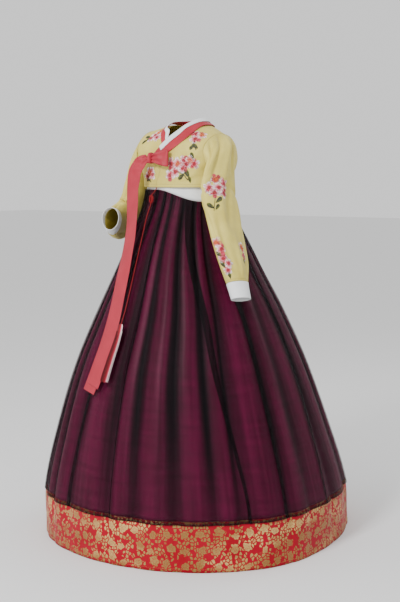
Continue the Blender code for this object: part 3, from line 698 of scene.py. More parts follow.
# %% Lay out the skirt
SKIRT = Profile(
    "width front back fold gather",
    (
        (1.310, 0.1450, 0.1188, 0.1126, 0.0000, 0.0000),
        (1.212, 0.1452, 0.1202, 0.1130, 0.0000, 0.0030),
        (1.165, 0.1500, 0.1320, 0.1330, 0.0012, 0.0034),
        (1.115, 0.1610, 0.1530, 0.1680, 0.0035, 0.0030),
        (1.035, 0.1900, 0.1910, 0.2280, 0.0070, 0.0016),
        (0.935, 0.2320, 0.2340, 0.2950, 0.0090, 0.0006),
        (0.795, 0.2970, 0.2900, 0.3800, 0.0110, 0.0000),
        (0.610, 0.3730, 0.3680, 0.4800, 0.0120, 0.0000),
        (0.395, 0.4450, 0.4230, 0.5730, 0.0120, 0.0000),
        (0.165, 0.5080, 0.4600, 0.6680, 0.0105, 0.0000),
        (0.000, 0.5150, 0.4620, 0.7100, 0.0085, 0.0000),
    ),
)
SKIRT_TOP = 1.212
SKIRT_TOP_DROP = 0.040
WAISTBAND_TOP = 1.300
BROCADE_TOP = 0.165
ORGANZA_HEM = 0.153
FOLDS = 24
SLACK = 0.0012


def fold_start(k):
    """The angle of the valley before a fold, from the front centre towards the wearer's left."""
    uneven = 0.22 * np.sin(2.4 * (k % FOLDS) + 0.7) + 0.10 * np.sin(5.1 * (k % FOLDS))
    return 2 * math.pi * (k + uneven - FOLDS / 8) / FOLDS


def skirt_top(angle):
    """The gathered seam's height: high at the front, lower at the wearer's left and the back."""
    turned = np.degrees((angle + math.pi) % (2 * math.pi) - math.pi)
    share = np.where(turned > -60, smooth((turned + 15) / 70), smooth((-turned - 90) / 70))
    return SKIRT_TOP - SKIRT_TOP_DROP * share


def skirt_height(angle, nominal):
    share = np.maximum(0.0, (nominal - BROCADE_TOP) / (SKIRT_TOP - BROCADE_TOP))
    return np.where(nominal <= BROCADE_TOP, nominal, BROCADE_TOP + (skirt_top(angle) - BROCADE_TOP) * share)


def skirt_points(angle, height, out):
    """Points on the skirt's oval section, moved out from its middle."""
    depth = np.where(np.cos(angle) > 0, SKIRT.read(height, "front"), SKIRT.read(height, "back"))
    x, y = SKIRT.read(height, "width") * np.sin(angle), -depth * np.cos(angle)
    far = np.hypot(x, y)
    return place(x * (1 + out / far), y * (1 + out / far), height)


def fold_places(angle):
    """The fold that an angle lies in and the share across it."""
    folds = np.arange(-1, FOLDS + 2)
    starts = fold_start(folds % FOLDS) + 2 * math.pi * np.floor(folds / FOLDS)
    base = starts[1]
    wrapped = (angle - base) % (2 * math.pi) + base
    k = np.clip(np.searchsorted(starts, wrapped, side="right") - 1, 0, FOLDS + 1)
    return (k - 1) % FOLDS, (wrapped - starts[k]) / (starts[k + 1] - starts[k])


def fold_out(angle, height):
    """How far the big folds stand out."""
    k, share = fold_places(angle)
    size = 1 + 0.3 * np.sin(1.9 * k + 0.4)
    skew = 1 + 0.35 * np.sin(3.7 * k)
    return SKIRT.read(height, "fold") * size * np.sin(math.pi * np.clip(share, 0, 1) ** skew) ** 0.85


def gathers_out(angle, height):
    """The knife pleats at the top, two to a fold."""
    _, share = fold_places(angle)
    along = share * 2 % 1
    lifted = np.where(along < 1 / 3, along * 3, (1 - along) * 1.5)
    return SKIRT.read(height, "gather") * lifted


def painted_valley_shade(angle, height):
    """Painted shade from 0 to 1 in the hollow between two folds: some hollows get much more than others, and
    short dark tucks of painted shade lie under the gathered seam."""
    k, share = fold_places(angle)
    near = np.exp(-((np.minimum(share, 1 - share) / 0.17) ** 2))
    side = np.exp(-(((share - 0.86) / 0.12) ** 2)) * 0.5
    strength = 0.35 + 0.65 * np.abs(np.sin(2.7 * k + 0.5))
    folds = (near * 0.9 + side) * strength * (0.35 + 0.65 * smooth((height - 0.15) / 0.45))
    fall = skirt_top(angle) - height
    reach = 0.07 + 0.05 * np.sin(29 * angle)
    tucks = smooth(np.sin(88 * angle + 2.0 * np.sin(13 * angle)) * 0.9) * np.exp(-((fall / reach) ** 2))
    return np.clip(folds + tucks * 0.8, 0, 1)


def drifting(angle, height):
    """Slack between the folds: long, slightly slanting swells that are nowhere the same."""
    fall = SKIRT_TOP - height
    swell = np.sin(31 * angle + 2.2 * fall + 1.1) * 0.5 + np.sin(53 * angle - 3.1 * fall + 0.4) * 0.3
    swell += np.sin(17 * angle + 4.0 * np.sin(2.1 * fall)) * 0.4
    return SLACK * swell * smooth(fall / 0.25)


def skirt_grid(heights, columns, layer, gathers=0.0):
    """A fine grid all round the skirt. layer is how far it lies outside the satin."""
    angle = np.linspace(0, 2 * math.pi, columns, endpoint=False)[None, :] + fold_start(0)
    height = skirt_height(angle, np.asarray(heights)[:, None])
    out = fold_out(angle, height) + drifting(angle, height) + layer
    if gathers:
        out = out + gathers_out(angle, height) * gathers
    return skirt_points(angle, height, out), np.broadcast_to(angle, height.shape), height


print("folds round the skirt:", FOLDS)

# %% [markdown]
# Satin, brocade and waistband
# The satin hangs from a white band high on the chest and ends in a deep brocade border at the floor. They
# are tubes of one fine grid each. The pattern of the border must not be stretched where the hem is wider,
# so its UV map counts real metres along the hem.

# %% Hang the satin skirt
ORGANZA_LAYER = 0.0036


def around_hem(height, columns):
    """Metres along the hem for each column of a skirt grid, and one more to close it."""
    ring = skirt_grid([height], columns, 0.0)[0][0]
    return lengths_along(np.concatenate([ring, ring[:1]]))


satin_rows = np.linspace(SKIRT_TOP, BROCADE_TOP + 0.0004, 70)
satin_grid, satin_angle, satin_height = skirt_grid(satin_rows, 384, 0.0, gathers=0.4)
# The satin's depth values are painted shade for the hollows between folds and the tucks under the seam.
satin = cloth("skirt_satin", satin_grid, plum_satin, "skirt_satin", around=True, u=around_hem(0.3, 384),
              depth=painted_valley_shade(satin_angle, satin_height))
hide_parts("skirt_panel_front", "skirt_panel_left", "skirt_panel_back", "skirt_panel_right")

brocade_height = np.linspace(BROCADE_TOP, 0.0, 16)
brocade_grid, brocade_angle, _ = skirt_grid(brocade_height, 480, 0.0004)
hem_share = 0.65 * smooth((BROCADE_TOP - brocade_height) / 0.13)[:, None, None]
even_hem = skirt_points(brocade_angle, brocade_height[:, None] + 0 * brocade_angle, 0.0052)
brocade_grid = brocade_grid + (even_hem - brocade_grid) * hem_share
brocade = cloth("brocade_border", brocade_grid, gold_brocade, "hem_brocade", around=True, wall=0.0016,
                u=around_hem(0.08, 480))
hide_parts("hem_band_front", "hem_band_left", "hem_band_back", "hem_band_right")

# %% [markdown]
# The waistband
# The skirt hangs from a band of white cotton. Its lower edge follows the slanting seam and its upper edge is
# level, so one grid between the two edges makes the whole band.

# %% Wrap the white waistband
band_angle = np.linspace(0, 2 * math.pi, 240, endpoint=False)[None, :]
band_share = np.linspace(1, 0, 12)[:, None]
band_low = skirt_top(band_angle) + 0.0003
band_height = band_low + (WAISTBAND_TOP - band_low) * band_share
band_sag = 0.0006 * np.sin(band_angle * 19) * np.sin(math.pi * band_share)
waistband = cloth("waistband", skirt_points(band_angle, band_height, band_sag), white_cotton, "white_cotton",
                  around=True, wall=0.0018)
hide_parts("skirt_waistband")
print("waistband height:", round(WAISTBAND_TOP - SKIRT_TOP, 3), "m in front")

# %% [markdown]
# The organza overskirt
# The organza is gathered on the same seam and follows the folds of the satin, a few millimetres in front of
# it. It has no wall: a sheer cloth with two faces would be counted twice by the light.

# %% Hang the organza
def make_slack_recipe():
    made = Recipe("Slack in the organza", Swell=0.0022, Size=9.0, Seed=4.0)
    spot = made.node("GeometryNodeInputPosition")
    stretched = made.node("ShaderNodeVectorMath", {"operation": "MULTIPLY"}, {0: spot, 1: (1.0, 1.0, 0.16)})
    noise = {"Vector": stretched, "W": made.input("Seed"), "Scale": made.input("Size"), "Detail": 2.0}
    slack = made.node("ShaderNodeTexNoise", {"noise_dimensions": "4D"}, noise)
    fall = made.node("ShaderNodeSeparateXYZ", None, {"Vector": spot}, "Z").lower(SKIRT_TOP - HELD_HEIGHT)
    loose = ((SKIRT_TOP - HELD_HEIGHT - fall) * 4).lower(1.0)
    outward = made.node("GeometryNodeInputNormal")
    lift = {0: outward, "Scale": (slack - 0.42) * 2 * loose * made.input("Swell")}
    offset = made.node("ShaderNodeVectorMath", {"operation": "SCALE"}, lift)
    made.serve(made.moved(made.input("Geometry"), offset))
    return made


organza_slack = make_slack_recipe()
organza_heights = np.concatenate([np.linspace(SKIRT_TOP, 1.0, 30)[:-1], np.linspace(1.0, ORGANZA_HEM, 60)])
organza_grid, organza_angle, organza_height = skirt_grid(organza_heights, 720, ORGANZA_LAYER, gathers=1.0)
doubled_hem = 1 - smooth((organza_height - ORGANZA_HEM - 0.010) / 0.004)
# The organza's depth values are painted shade in the hollows and tucks, and near the bottom its real doubled
# hem.
organza = cloth("organza_overskirt", organza_grid, black_organza, "skirt_organza", around=True, wall=0.0,
                u=around_hem(0.3, 720), recipe=organza_slack,
                depth=np.maximum(painted_valley_shade(organza_angle, organza_height), 1.1 * doubled_hem))
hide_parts("skirt_overlay")
print("the organza ends", ORGANZA_HEM, "m above the floor")

# %% [markdown]
# Pleats in the organza
# Now and then the organza is folded over into a flat pleat that runs from the waist to the hem. Each pleat
# is a strip that lies on the overskirt, with its angle and width given at a few heights. The first four are
# the ones that show in front, and the others go round the sides and the back.

# %% Fold the pleats
PLEATS = (
    # angle in degrees at the top, at the middle and at the hem, then the widths there
    (38.0, 48.5, 58.5, 0.026, 0.026, 0.010),
    (63.0, 74.5, 75.0, 0.012, 0.021, 0.016),
    (97.0, 105.0, 99.5, 0.012, 0.016, 0.009),
    (-11.0, -15.0, -18.5, 0.015, 0.020, 0.018),
    (3.0, 6.5, 4.5, 0.007, 0.006, 0.005),
    (-38.0, -44.0, -47.0, 0.016, 0.024, 0.022),
    (-70.0, -74.0, -76.0, 0.012, 0.020, 0.016),
    (-104.0, -106.0, -103.0, 0.016, 0.026, 0.022),
    (-134.0, -137.0, -139.0, 0.014, 0.022, 0.014),
    (-163.0, -166.0, -170.0, 0.016, 0.028, 0.024),
    (128.0, 133.0, 130.0, 0.016, 0.026, 0.020),
    (157.0, 160.0, 164.0, 0.014, 0.022, 0.016),
)
PLEAT_LAYERS = (0.0010, 0.0020)


def pleat_grid(row, lift, inset):
    top, middle, hem, width_top, width_middle, width_hem = row
    share = np.linspace(0.0, 1.0, 90)[:, None]
    across = np.linspace(-0.5, 0.5, 13)[None, :]

    def bend(first, second, third):
        """A value given at the top, at the middle and at the hem, read smoothly between them."""
        upper, lower = smooth(share / 0.45), smooth((share - 0.3) / 0.7)
        return first + (second - first) * upper + (third - second) * lower

    angle = np.radians(bend(top, middle, hem))
    nominal = SKIRT_TOP + (ORGANZA_HEM + 0.001 - SKIRT_TOP) * share
    height = skirt_height(angle, nominal)
    reach = np.hypot(SKIRT.read(height, "width") * np.cos(angle), SKIRT.read(height, "front") * np.sin(angle))
    spread = angle + across * inset * bend(width_top, width_middle, width_hem) / reach
    height = skirt_height(spread, nominal + 0 * across)
    out = fold_out(spread, height) + drifting(spread, height) + gathers_out(spread, height)
    round_edge = 1 - (2 * across) ** 4 * 0.5
    return skirt_points(spread, height, out + ORGANZA_LAYER + lift * round_edge)


for number, row in enumerate(PLEATS):
    for layer, lift in enumerate(PLEAT_LAYERS):
        middle = np.radians(row[1])
        grid = pleat_grid(row, lift, 1.0 - 0.12 * layer)
        cloth(f"organza_pleat_{number}_{layer}", grid, black_organza, "skirt_organza",
                            facing=(math.sin(middle), -math.cos(middle), 0.3), wall=0.0,
                            recipe=organza_slack)

# %% [markdown]
# The jacket's form
# The jacket's body is a shell round the chest that turns over the shoulders. A place on it is x, the
# distance from the centre line, and run, which goes from the back hem (-1) over the shoulder (0) to the
# front hem (1). The left front lies over the right one, so it stands out a little further.

# %% Lay out the jacket's body
TORSO = Profile(
    "width front back side_edge",
    (
        (1.220, 0.1480, 0.1235, 0.1180, 0.1480),
        (1.242, 0.1490, 0.1240, 0.1180, 0.1490),
        (1.262, 0.1500, 0.1240, 0.1175, 0.1500),
        (1.282, 0.1600, 0.1230, 0.1165, 0.1480),
        (1.305, 0.1780, 0.1210, 0.1150, 0.1450),
        (1.345, 0.2050, 0.1150, 0.1130, 0.1420),
        (1.405, 0.2100, 0.1080, 0.1090, 0.1400),
        (1.470, 0.2100, 0.1080, 0.1090, 0.1400),
    ),
)
INNER_EDGE = Profile(
    "inner",
    (
        (-1.000, 0.0006), (-0.400, 0.0006), (-0.300, 0.0006), (-0.225, 0.0120), (-0.150, 0.0400),
        (-0.075, 0.0560), (0.000, 0.0610), (0.075, 0.0590), (0.150, 0.0540), (0.225, 0.0470),
        (0.300, 0.0380), (0.400, 0.0230), (0.500, 0.0050), (0.588, -0.0060), (0.676, -0.0095),
        (0.764, -0.0140), (0.835, -0.0205), (0.915, -0.0290), (1.000, -0.0370),
    ),
)
JACKET_HEM = 1.220
CHEST_HEIGHT = 1.345
NECK_SIDE_HEIGHT = 1.445
NECK_SIDE_X = 0.062
SIDE_ROUND = 2.6
FRONT_ROUND = 2.2
RIGHT_NECK_SHARE = 0.80


def shoulder_top(x, lapped):
    out = np.maximum(0.0, np.abs(x) - NECK_SIDE_X)
    return NECK_SIDE_HEIGHT - (0.56 * out if lapped else 0.010 + 0.22 * out)


def body_height(run, x, lapped):
    """Height above the floor and how far the cloth has turned over the shoulder."""
    along = np.abs(run)
    turn = np.where(along >= 0.5, 0.0, (1 - along * 2) * math.pi / 2)
    lower = CHEST_HEIGHT - (along - 0.5) * 2 * (CHEST_HEIGHT - JACKET_HEM)
    upper = CHEST_HEIGHT + (shoulder_top(x, lapped) - CHEST_HEIGHT) * np.sin(turn)
    return np.where(along >= 0.5, lower, upper), turn


def body_points(x, run, lapped):
    x, run = np.broadcast_arrays(np.asarray(x, float), np.asarray(run, float))
    height, turn = body_height(run, x, lapped)
    depth = np.where(run < 0, TORSO.read(height, "back"), TORSO.read(height, "front"))
    width = TORSO.read(height, "width")
    hollow = np.maximum(0.0, 1 - np.minimum(1.0, np.abs(x) / width) ** SIDE_ROUND) ** (1 / FRONT_ROUND)
    away = np.maximum(np.where(turn == 0, 0.0003, 0.0), depth * hollow * np.cos(turn))
    if lapped:
        lap = (0.0040 + 0.0050 * smooth((height - 1.255) / 0.06)) * smooth((0.090 - x) / 0.03)
        away = away + np.where(run > 0, lap * smooth((run - 0.25) / 0.2), 0.0)
    return place(x, np.where(run < 0, away, -away) + 0.012 * np.sin(turn), height)


def body_lifted(x, run, lapped, lift):
    step = 0.002
    across = body_points(x + step, run, lapped) - body_points(x - step, run, lapped)
    along = body_points(x, run + step, lapped) - body_points(x, run - step, lapped)
    return body_points(x, run, lapped) - unit(np.cross(across, along)) * lift


def side_edge(run, lapped):
    return TORSO.read(body_height(run, 0.14, lapped)[0], "side_edge")


def neck_x(x, lapped):
    return x if lapped else np.where(x < 0, x, x * RIGHT_NECK_SHARE)


def body_grid(lapped, rows, columns):
    """The whole half of the body. Its columns crowd towards the side, where it turns."""
    run = np.linspace(-1, 1, rows)[:, None]
    inner, outer = neck_x(INNER_EDGE.read(run, "inner"), lapped), side_edge(run, lapped)
    width = TORSO.read(body_height(run, outer, lapped)[0], "width")

    def turned(x):
        return np.sign(x) * np.arcsin(np.minimum(1.0, np.abs(x) / width) ** (SIDE_ROUND / 2))

    angle = turned(inner) + (turned(outer) - turned(inner)) * np.linspace(0, 1, columns)[None, :]
    x = np.sign(angle) * width * np.abs(np.sin(angle)) ** (2 / SIDE_ROUND)
    return body_points(x, run + 0 * x, lapped), x, run + 0 * x


print("the jacket's hem is", JACKET_HEM, "m above the floor")

# %% [markdown]
# Sewing the body
# Both halves are cut in one piece from the back hem to the front hem. The strokes press in the creases that
# the arms and the ribbon pull into it: from the armpits towards the middle and down from the collar.

# %% Sew the jacket's body
BODY_CREASES = (
    (0.132, 0.62, 0.070, 0.74, 0.009, -0.0016),
    (0.136, 0.70, 0.085, 0.88, 0.008, 0.0014),
    (0.128, 0.40, 0.096, 0.58, 0.010, -0.0015),
    (0.138, 0.36, 0.118, 0.60, 0.008, 0.0016),
    (0.060, 0.60, 0.030, 0.80, 0.011, 0.0012),
    (0.100, 0.90, 0.030, 0.96, 0.010, -0.0010),
    (0.134, 0.80, 0.060, 0.90, 0.007, 0.0011),
    (0.120, 0.30, 0.110, 0.50, 0.009, 0.0013),
    (0.118, -0.30, 0.112, -0.90, 0.009, 0.0013),
    (0.030, -0.60, 0.012, -0.94, 0.010, -0.0012),
    (0.134, -0.66, 0.060, -0.74, 0.010, -0.0018),
    (0.130, -0.42, 0.090, -0.60, 0.012, -0.0016),
    (0.070, -0.36, 0.020, -0.52, 0.014, 0.0014),
    (0.110, -0.90, 0.030, -0.82, 0.012, 0.0014),
)
RUN_LENGTH = 0.25
INSIDE_CHEST = (0.0, 0.0, 1.300 - HELD_HEIGHT)


def body_places(x, run):
    """Places on the body in even metres, for the creases: across and down."""
    return x, run * RUN_LENGTH


def flipped(points):
    return points * np.array([-1.0, 1.0, 1.0])


bodies, body_grids = {}, {}
for side, lapped in (("left", True), ("right", False)):
    grid, x, run = body_grid(lapped, 150, 46)
    strokes = [(a, b * RUN_LENGTH, c, d * RUN_LENGTH, w, h * 1.7) for a, b, c, d, w, h in BODY_CREASES]
    grid = pressed(grid, body_places(x, run), strokes, inside=INSIDE_CHEST)
    if not lapped:
        grid = flipped(grid)
    body_grids[side] = grid
    bodies[side] = cloth(f"body_{side}", grid, olive_silk, "jacket_silk", inside=INSIDE_CHEST, wall=0.0010)
    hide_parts(f"jacket_body_{side}")

# %% [markdown]
# The sleeves
# Each sleeve is a tube that starts as the armhole and ends at the wrist. Its stations give the far and the
# near side of the arm and how far the cloth reaches before and behind it. The left arm hangs, the right one
# is bent in front of the body, as the wearer holds it.

# %% Lay out the sleeves
LEFT_SLEEVE = (
    ((0.1400, 0.012, 1.4010), (0.1500, 0.000, 1.2620), 0.098, 0.096),
    ((0.1720, 0.004, 1.3800), (0.1560, -0.008, 1.2440), 0.092, 0.078),
    ((0.1940, -0.020, 1.3450), (0.1600, -0.034, 1.2200), 0.096, 0.066),
    ((0.2060, -0.046, 1.2820), (0.1640, -0.058, 1.1820), 0.090, 0.070),
    ((0.2230, -0.066, 1.2100), (0.1740, -0.076, 1.1320), 0.082, 0.076),
    ((0.2470, -0.082, 1.1350), (0.1930, -0.090, 1.0780), 0.076, 0.088),
    ((0.2770, -0.096, 1.0600), (0.2190, -0.102, 1.0170), 0.074, 0.089),
    ((0.3100, -0.109, 0.9830), (0.2480, -0.115, 0.9520), 0.064, 0.078),
    ((0.3330, -0.119, 0.9170), (0.2710, -0.125, 0.8980), 0.044, 0.048),
    ((0.3520, -0.127, 0.8640), (0.2940, -0.133, 0.8500), 0.038, 0.041),
)
RIGHT_SLEEVE = (
    ((0.1400, 0.012, 1.4200), (0.1500, 0.000, 1.2620), 0.096, 0.098),
    ((0.1760, 0.008, 1.3920), (0.1570, 0.000, 1.2420), 0.082, 0.088),
    ((0.2080, 0.004, 1.3450), (0.1640, -0.004, 1.2160), 0.076, 0.082),
    ((0.2320, 0.000, 1.2750), (0.1750, -0.008, 1.1800), 0.072, 0.078),
    ((0.2560, 0.000, 1.2050), (0.1900, -0.016, 1.1450), 0.066, 0.076),
    ((0.2720, -0.024, 1.1560), (0.2000, -0.036, 1.1240), 0.058, 0.078),
    ((0.2700, -0.070, 1.1260), (0.2000, -0.072, 1.1100), 0.052, 0.078),
    ((0.2540, -0.122, 1.1120), (0.1900, -0.108, 1.1050), 0.046, 0.070),
    ((0.2260, -0.172, 1.1100), (0.1700, -0.146, 1.1060), 0.040, 0.054),
    ((0.2000, -0.216, 1.1160), (0.1480, -0.188, 1.1140), 0.037, 0.042),
)
ARMHOLE_RUNS = (0.835, 0.764, 0.676, 0.588, 0.5, 0.4, 0.3, 0.225, 0.15, 0.075, 0.0)
RING_STEPS = 20
AT_LENGTH = 0.062
STEP_LENGTH = 0.021


def sleeve_grid(stations, at, columns, lapped):
    """Rings round a sleeve at fractional places along its stations."""
    at = np.asarray(at, float)
    far, near = placed([s[0] for s in stations]), placed([s[1] for s in stations])
    middles = (far + near) / 2
    half = curve_points((near - far) / 2, at)[:, None, :]
    reach = curve_points([(s[2], s[3], 0.0) for s in stations], at)[:, None, :]
    middle = curve_points(middles, at)[:, None, :]
    step, last = 0.05, len(stations) - 1
    after, before = np.minimum(at + step, last), np.maximum(at - step, 0)
    line = curve_points(middles, after) - curve_points(middles, before)
    turned = smooth((at - 2) / 4)[:, None, None]
    ahead = unit(np.cross(half, line[:, None, :]))
    forward = unit(np.array([0.0, -1.0, 0.0]) * (1 - turned) + ahead * turned)
    place_round = np.linspace(0, RING_STEPS, columns, endpoint=False)
    runs = np.array(list(ARMHOLE_RUNS) + [-r for r in reversed(ARMHOLE_RUNS[:-1])])
    run = np.interp(place_round, np.arange(len(runs)) * RING_STEPS / (len(runs) - 1), runs)
    sewn = body_points(side_edge(run, lapped), run, lapped) - middles[0]
    down = (near[0] - far[0]) / 2
    depth = np.where(sewn[:, 1] < 0, stations[0][2], stations[0][3])
    sewn_turn = np.arctan2(-sewn[:, 1] / depth, sewn @ down / (down @ down))
    sewn_turn = np.where(sewn_turn > -0.05, sewn_turn, sewn_turn + 2 * math.pi)
    even_turn = 2 * math.pi * place_round / RING_STEPS
    turn = even_turn + (sewn_turn - even_turn) * (1 - smooth(at / 5))[:, None]
    turn = turn[..., None]
    deep = np.where(np.sin(turn) > 0, reach[..., :1], reach[..., 1:2])
    oval = middle + half * np.cos(turn) + forward * (deep * np.sin(turn))
    share = (1 - smooth(at / 2))[:, None, None]
    return oval * (1 - share) + (sewn + middle) * share


print("stations in a sleeve:", len(LEFT_SLEEVE))

# %% [markdown]
# Creases in the sleeves
# A hanging silk sleeve breaks into long soft folds: from the shoulder down, across the inside of the elbow,
# and above the cuff. The strokes give each one by station and by place round the arm, where 0 is under the
# arm, 5 the front, 10 the outside and 15 the back.

# %% Sew the sleeves and cuffs
LEFT_CREASES = (
    (0.5, 8.6, 3.4, 7.4, 0.012, -0.0042),
    (0.6, 10.6, 3.9, 9.2, 0.014, 0.0036),
    (0.4, 12.6, 3.2, 11.6, 0.012, -0.0040),
    (0.3, 6.2, 2.6, 4.6, 0.011, -0.0034),
    (1.4, 4.0, 4.0, 3.0, 0.012, 0.0030),
    (3.4, 10.8, 5.6, 9.0, 0.014, -0.0036),
    (3.8, 8.2, 6.2, 8.8, 0.016, 0.0030),
    (4.2, 12.4, 6.0, 11.2, 0.012, 0.0032),
    (4.6, 4.2, 6.4, 5.8, 0.013, -0.0030),
    (5.2, 7.0, 7.6, 7.6, 0.012, -0.0024),
    (6.0, 9.8, 7.9, 9.4, 0.010, 0.0026),
    (6.4, 11.8, 7.9, 11.0, 0.009, -0.0028),
    (6.6, 4.4, 7.9, 4.8, 0.009, 0.0024),
    (0.8, 15.2, 3.6, 14.6, 0.014, -0.0040),
    (2.0, 17.0, 4.6, 16.4, 0.013, 0.0034),
    (4.0, 15.0, 6.4, 14.0, 0.013, -0.0036),
    (5.4, 16.8, 7.6, 16.2, 0.011, 0.0026),
    (3.0, 1.2, 4.4, 18.8, 0.010, -0.0030),
    (4.6, 19.6, 5.6, 17.4, 0.011, -0.0034),
    (2.4, 0.6, 3.6, 2.4, 0.010, 0.0028),
)
RIGHT_CREASES = (
    (0.5, 8.0, 3.0, 7.0, 0.012, -0.0038),
    (0.6, 11.0, 3.6, 10.2, 0.013, 0.0036),
    (0.4, 13.0, 3.4, 12.2, 0.012, -0.0036),
    (1.6, 4.6, 4.2, 4.0, 0.012, -0.0034),
    (3.6, 3.2, 5.2, 6.2, 0.010, 0.0034),
    (4.2, 2.2, 5.8, 5.2, 0.009, -0.0040),
    (4.8, 1.0, 6.2, 4.2, 0.009, 0.0034),
    (4.4, 7.4, 5.6, 9.0, 0.011, -0.0030),
    (5.8, 8.0, 7.6, 7.4, 0.011, 0.0028),
    (6.2, 11.0, 7.8, 10.2, 0.010, -0.0028),
    (5.4, 12.6, 7.4, 12.8, 0.012, 0.0026),
    (4.0, 15.4, 5.6, 13.6, 0.012, -0.0038),
    (5.0, 17.0, 6.8, 15.6, 0.012, 0.0034),
    (6.4, 17.6, 7.9, 17.0, 0.010, -0.0026),
    (1.0, 16.0, 3.4, 15.4, 0.013, -0.0036),
    (2.6, 18.6, 4.4, 19.2, 0.010, 0.0028),
    (6.6, 5.0, 7.9, 5.0, 0.009, -0.0024),
)
SLEEVE_START = 0.02


def sewn_sleeve(side, stations, creases):
    lapped = side == "left"
    at = np.linspace(SLEEVE_START, 8.0, 130)
    grid = sleeve_grid(stations, at, 120, lapped)
    round_place = np.linspace(0, RING_STEPS, 120, endpoint=False)[None, :]
    strokes = []
    for at_start, step_start, at_end, step_end, width, height in creases:
        start = (step_start * STEP_LENGTH, at_start * AT_LENGTH)
        strokes.append((*start, step_end * STEP_LENGTH, at_end * AT_LENGTH, width, height))
    ends = 2.2 * smooth(at / 0.9) * smooth((8.0 - at) / 0.5)
    cuff_seam = np.exp(-(((8.0 - at) / 0.10) ** 2))
    puff = 0.0030 * smooth(at / 0.16) * np.exp(-((at / 0.8) ** 2)) - 0.0012 * cuff_seam
    grid = grid + outward_of(grid, True) * puff[:, None, None]
    places = np.broadcast_arrays(round_place * STEP_LENGTH, at[:, None] * AT_LENGTH)
    bent = pressed(grid, places,
                   strokes, around=RING_STEPS * STEP_LENGTH)
    grid = grid + (bent - grid) * ends[:, None, None]
    cuff = sleeve_grid(stations, np.linspace(8.01, 9.0, 14), 120, lapped)
    if not lapped:
        grid, cuff = flipped(grid), flipped(cuff)
    sleeve_grids[side] = grid
    sleeve = cloth(f"sleeve_{side}", grid, olive_silk, "jacket_silk", around=True, wall=0.0010)
    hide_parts(f"jacket_sleeve_{side}")
    end = cloth(f"white_cuff_{side}", cuff, white_cotton, "white_cotton", around=True, wall=0.0014)
    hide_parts(f"cuff_{side}")
    return sleeve, end


sleeves, cuffs, sleeve_grids = {}, {}, {}
sleeves["left"], cuffs["left"] = sewn_sleeve("left", LEFT_SLEEVE, LEFT_CREASES)
sleeves["right"], cuffs["right"] = sewn_sleeve("right", RIGHT_SLEEVE, RIGHT_CREASES)
print("creases in the sleeves:", len(LEFT_CREASES), "and", len(RIGHT_CREASES))

# %% [markdown]
# The collar
# The coral band runs from the right front round the neck to the left front, where the ribbon is sewn on. A
# narrow white strip, changed for each wearing, is tacked along its upper half and shows inside the V.

# %% Sew the collar and its white strip
COLLAR = (
    # lower edge as x and run, middle where the band stands up, and upper edge
    ((-0.022, 0.640), None, (-0.043, 1.334)),
    ((-0.006, 0.598), None, (-0.028, 1.348)),
    ((0.016, 0.540), None, (-0.011, 1.366)),
    ((0.042, 0.478), None, (0.006, 1.388)),
    ((0.066, 0.405), None, (0.024, 1.410)),
    ((0.082, 0.300), (0.058, 0.255), (0.045, -0.058, 1.432)),
    ((0.088, 0.130), (0.072, 0.120), (0.056, -0.024, 1.448)),
    ((0.090, 0.000), (0.075, 0.000), (0.060, 0.010, 1.455)),
    ((0.078, -0.150), (0.063, -0.138), (0.053, 0.042, 1.457)),
    ((0.048, -0.255), (0.036, -0.215), (0.034, 0.068, 1.457)),
    ((0.000, -0.300), (0.000, -0.250), (0.000, 0.078, 1.456)),
)
BAND_LIFT = 0.0034
STANDING_LIFT = 0.0050
NAPE_LIFT = 0.0068
RIGHT_NECK_DROP = 0.16
TURNED_UNDER = 0.40


def front_run(x, height, lapped):
    """The run at which the front of the body has a height."""
    if height <= CHEST_HEIGHT:
        return 0.5 + (CHEST_HEIGHT - height) / (CHEST_HEIGHT - JACKET_HEM) / 2
    rise = (height - CHEST_HEIGHT) / (shoulder_top(x, lapped) - CHEST_HEIGHT)
    return (1 - math.asin(rise) * 2 / math.pi) / 2


def collar_station(row, lapped):
    """The band's lower edge, middle and upper edge at one station."""
    (low_x, low_run), middle, high = row
    low_x = neck_x(low_x, lapped)
    if middle is None:
        x = neck_x(high[0], lapped)
        run = front_run(x, high[1], lapped)
        spots = ((low_x, low_run), ((low_x + x) / 2, (low_run + run) / 2), (x, run))
        return [body_lifted(a, b, lapped, BAND_LIFT) for a, b in spots]
    lift = STANDING_LIFT if low_x else NAPE_LIFT
    height = high[2] - (0 if lapped else high[0] * RIGHT_NECK_DROP)
    spots = [body_lifted(low_x, low_run, lapped, lift),
             body_lifted(neck_x(middle[0], lapped), middle[1], lapped, lift)]
    return spots + [place(neck_x(high[0], lapped), high[1], height)]


right_side = [[flipped(p) for p in collar_station(row, False)] for row in COLLAR]
left_side = [collar_station(row, True) for row in COLLAR[:-1]]
COLLAR_LINES = np.array(right_side + left_side[::-1])


def collar_grid(start, end, rows, across, lift=0.0, pad=0.0):
    """The band between two stations. pad rounds it out between its edges."""
    across = np.asarray(across, float)

    def on_band(station, share):
        low, middle, high = (curve_points(COLLAR_LINES[:, i], station)[:, None, :] for i in range(3))
        narrow = (TURNED_UNDER * smooth((10 - station) / 4))[:, None, None]
        share = narrow + share[None, :, None] * (1 - narrow)
        lower, upper = low + (middle - low) * share * 2, middle + (high - middle) * (share * 2 - 1)
        return np.where(share < 0.5, lower, upper)

    station, step = np.linspace(start, end, rows), 0.05
    points = on_band(station, across)
    along = on_band(station + step, across) - on_band(station - step, across)
    over = on_band(station, across + step) - on_band(station, across - step)
    outward = -unit(np.cross(along, over))
    puff = pad * np.sin(math.pi * np.clip((across - across[0]) / (across[-1] - across[0]), 0, 1)) ** 0.5
    return points + outward * (lift + puff)[None, :, None]


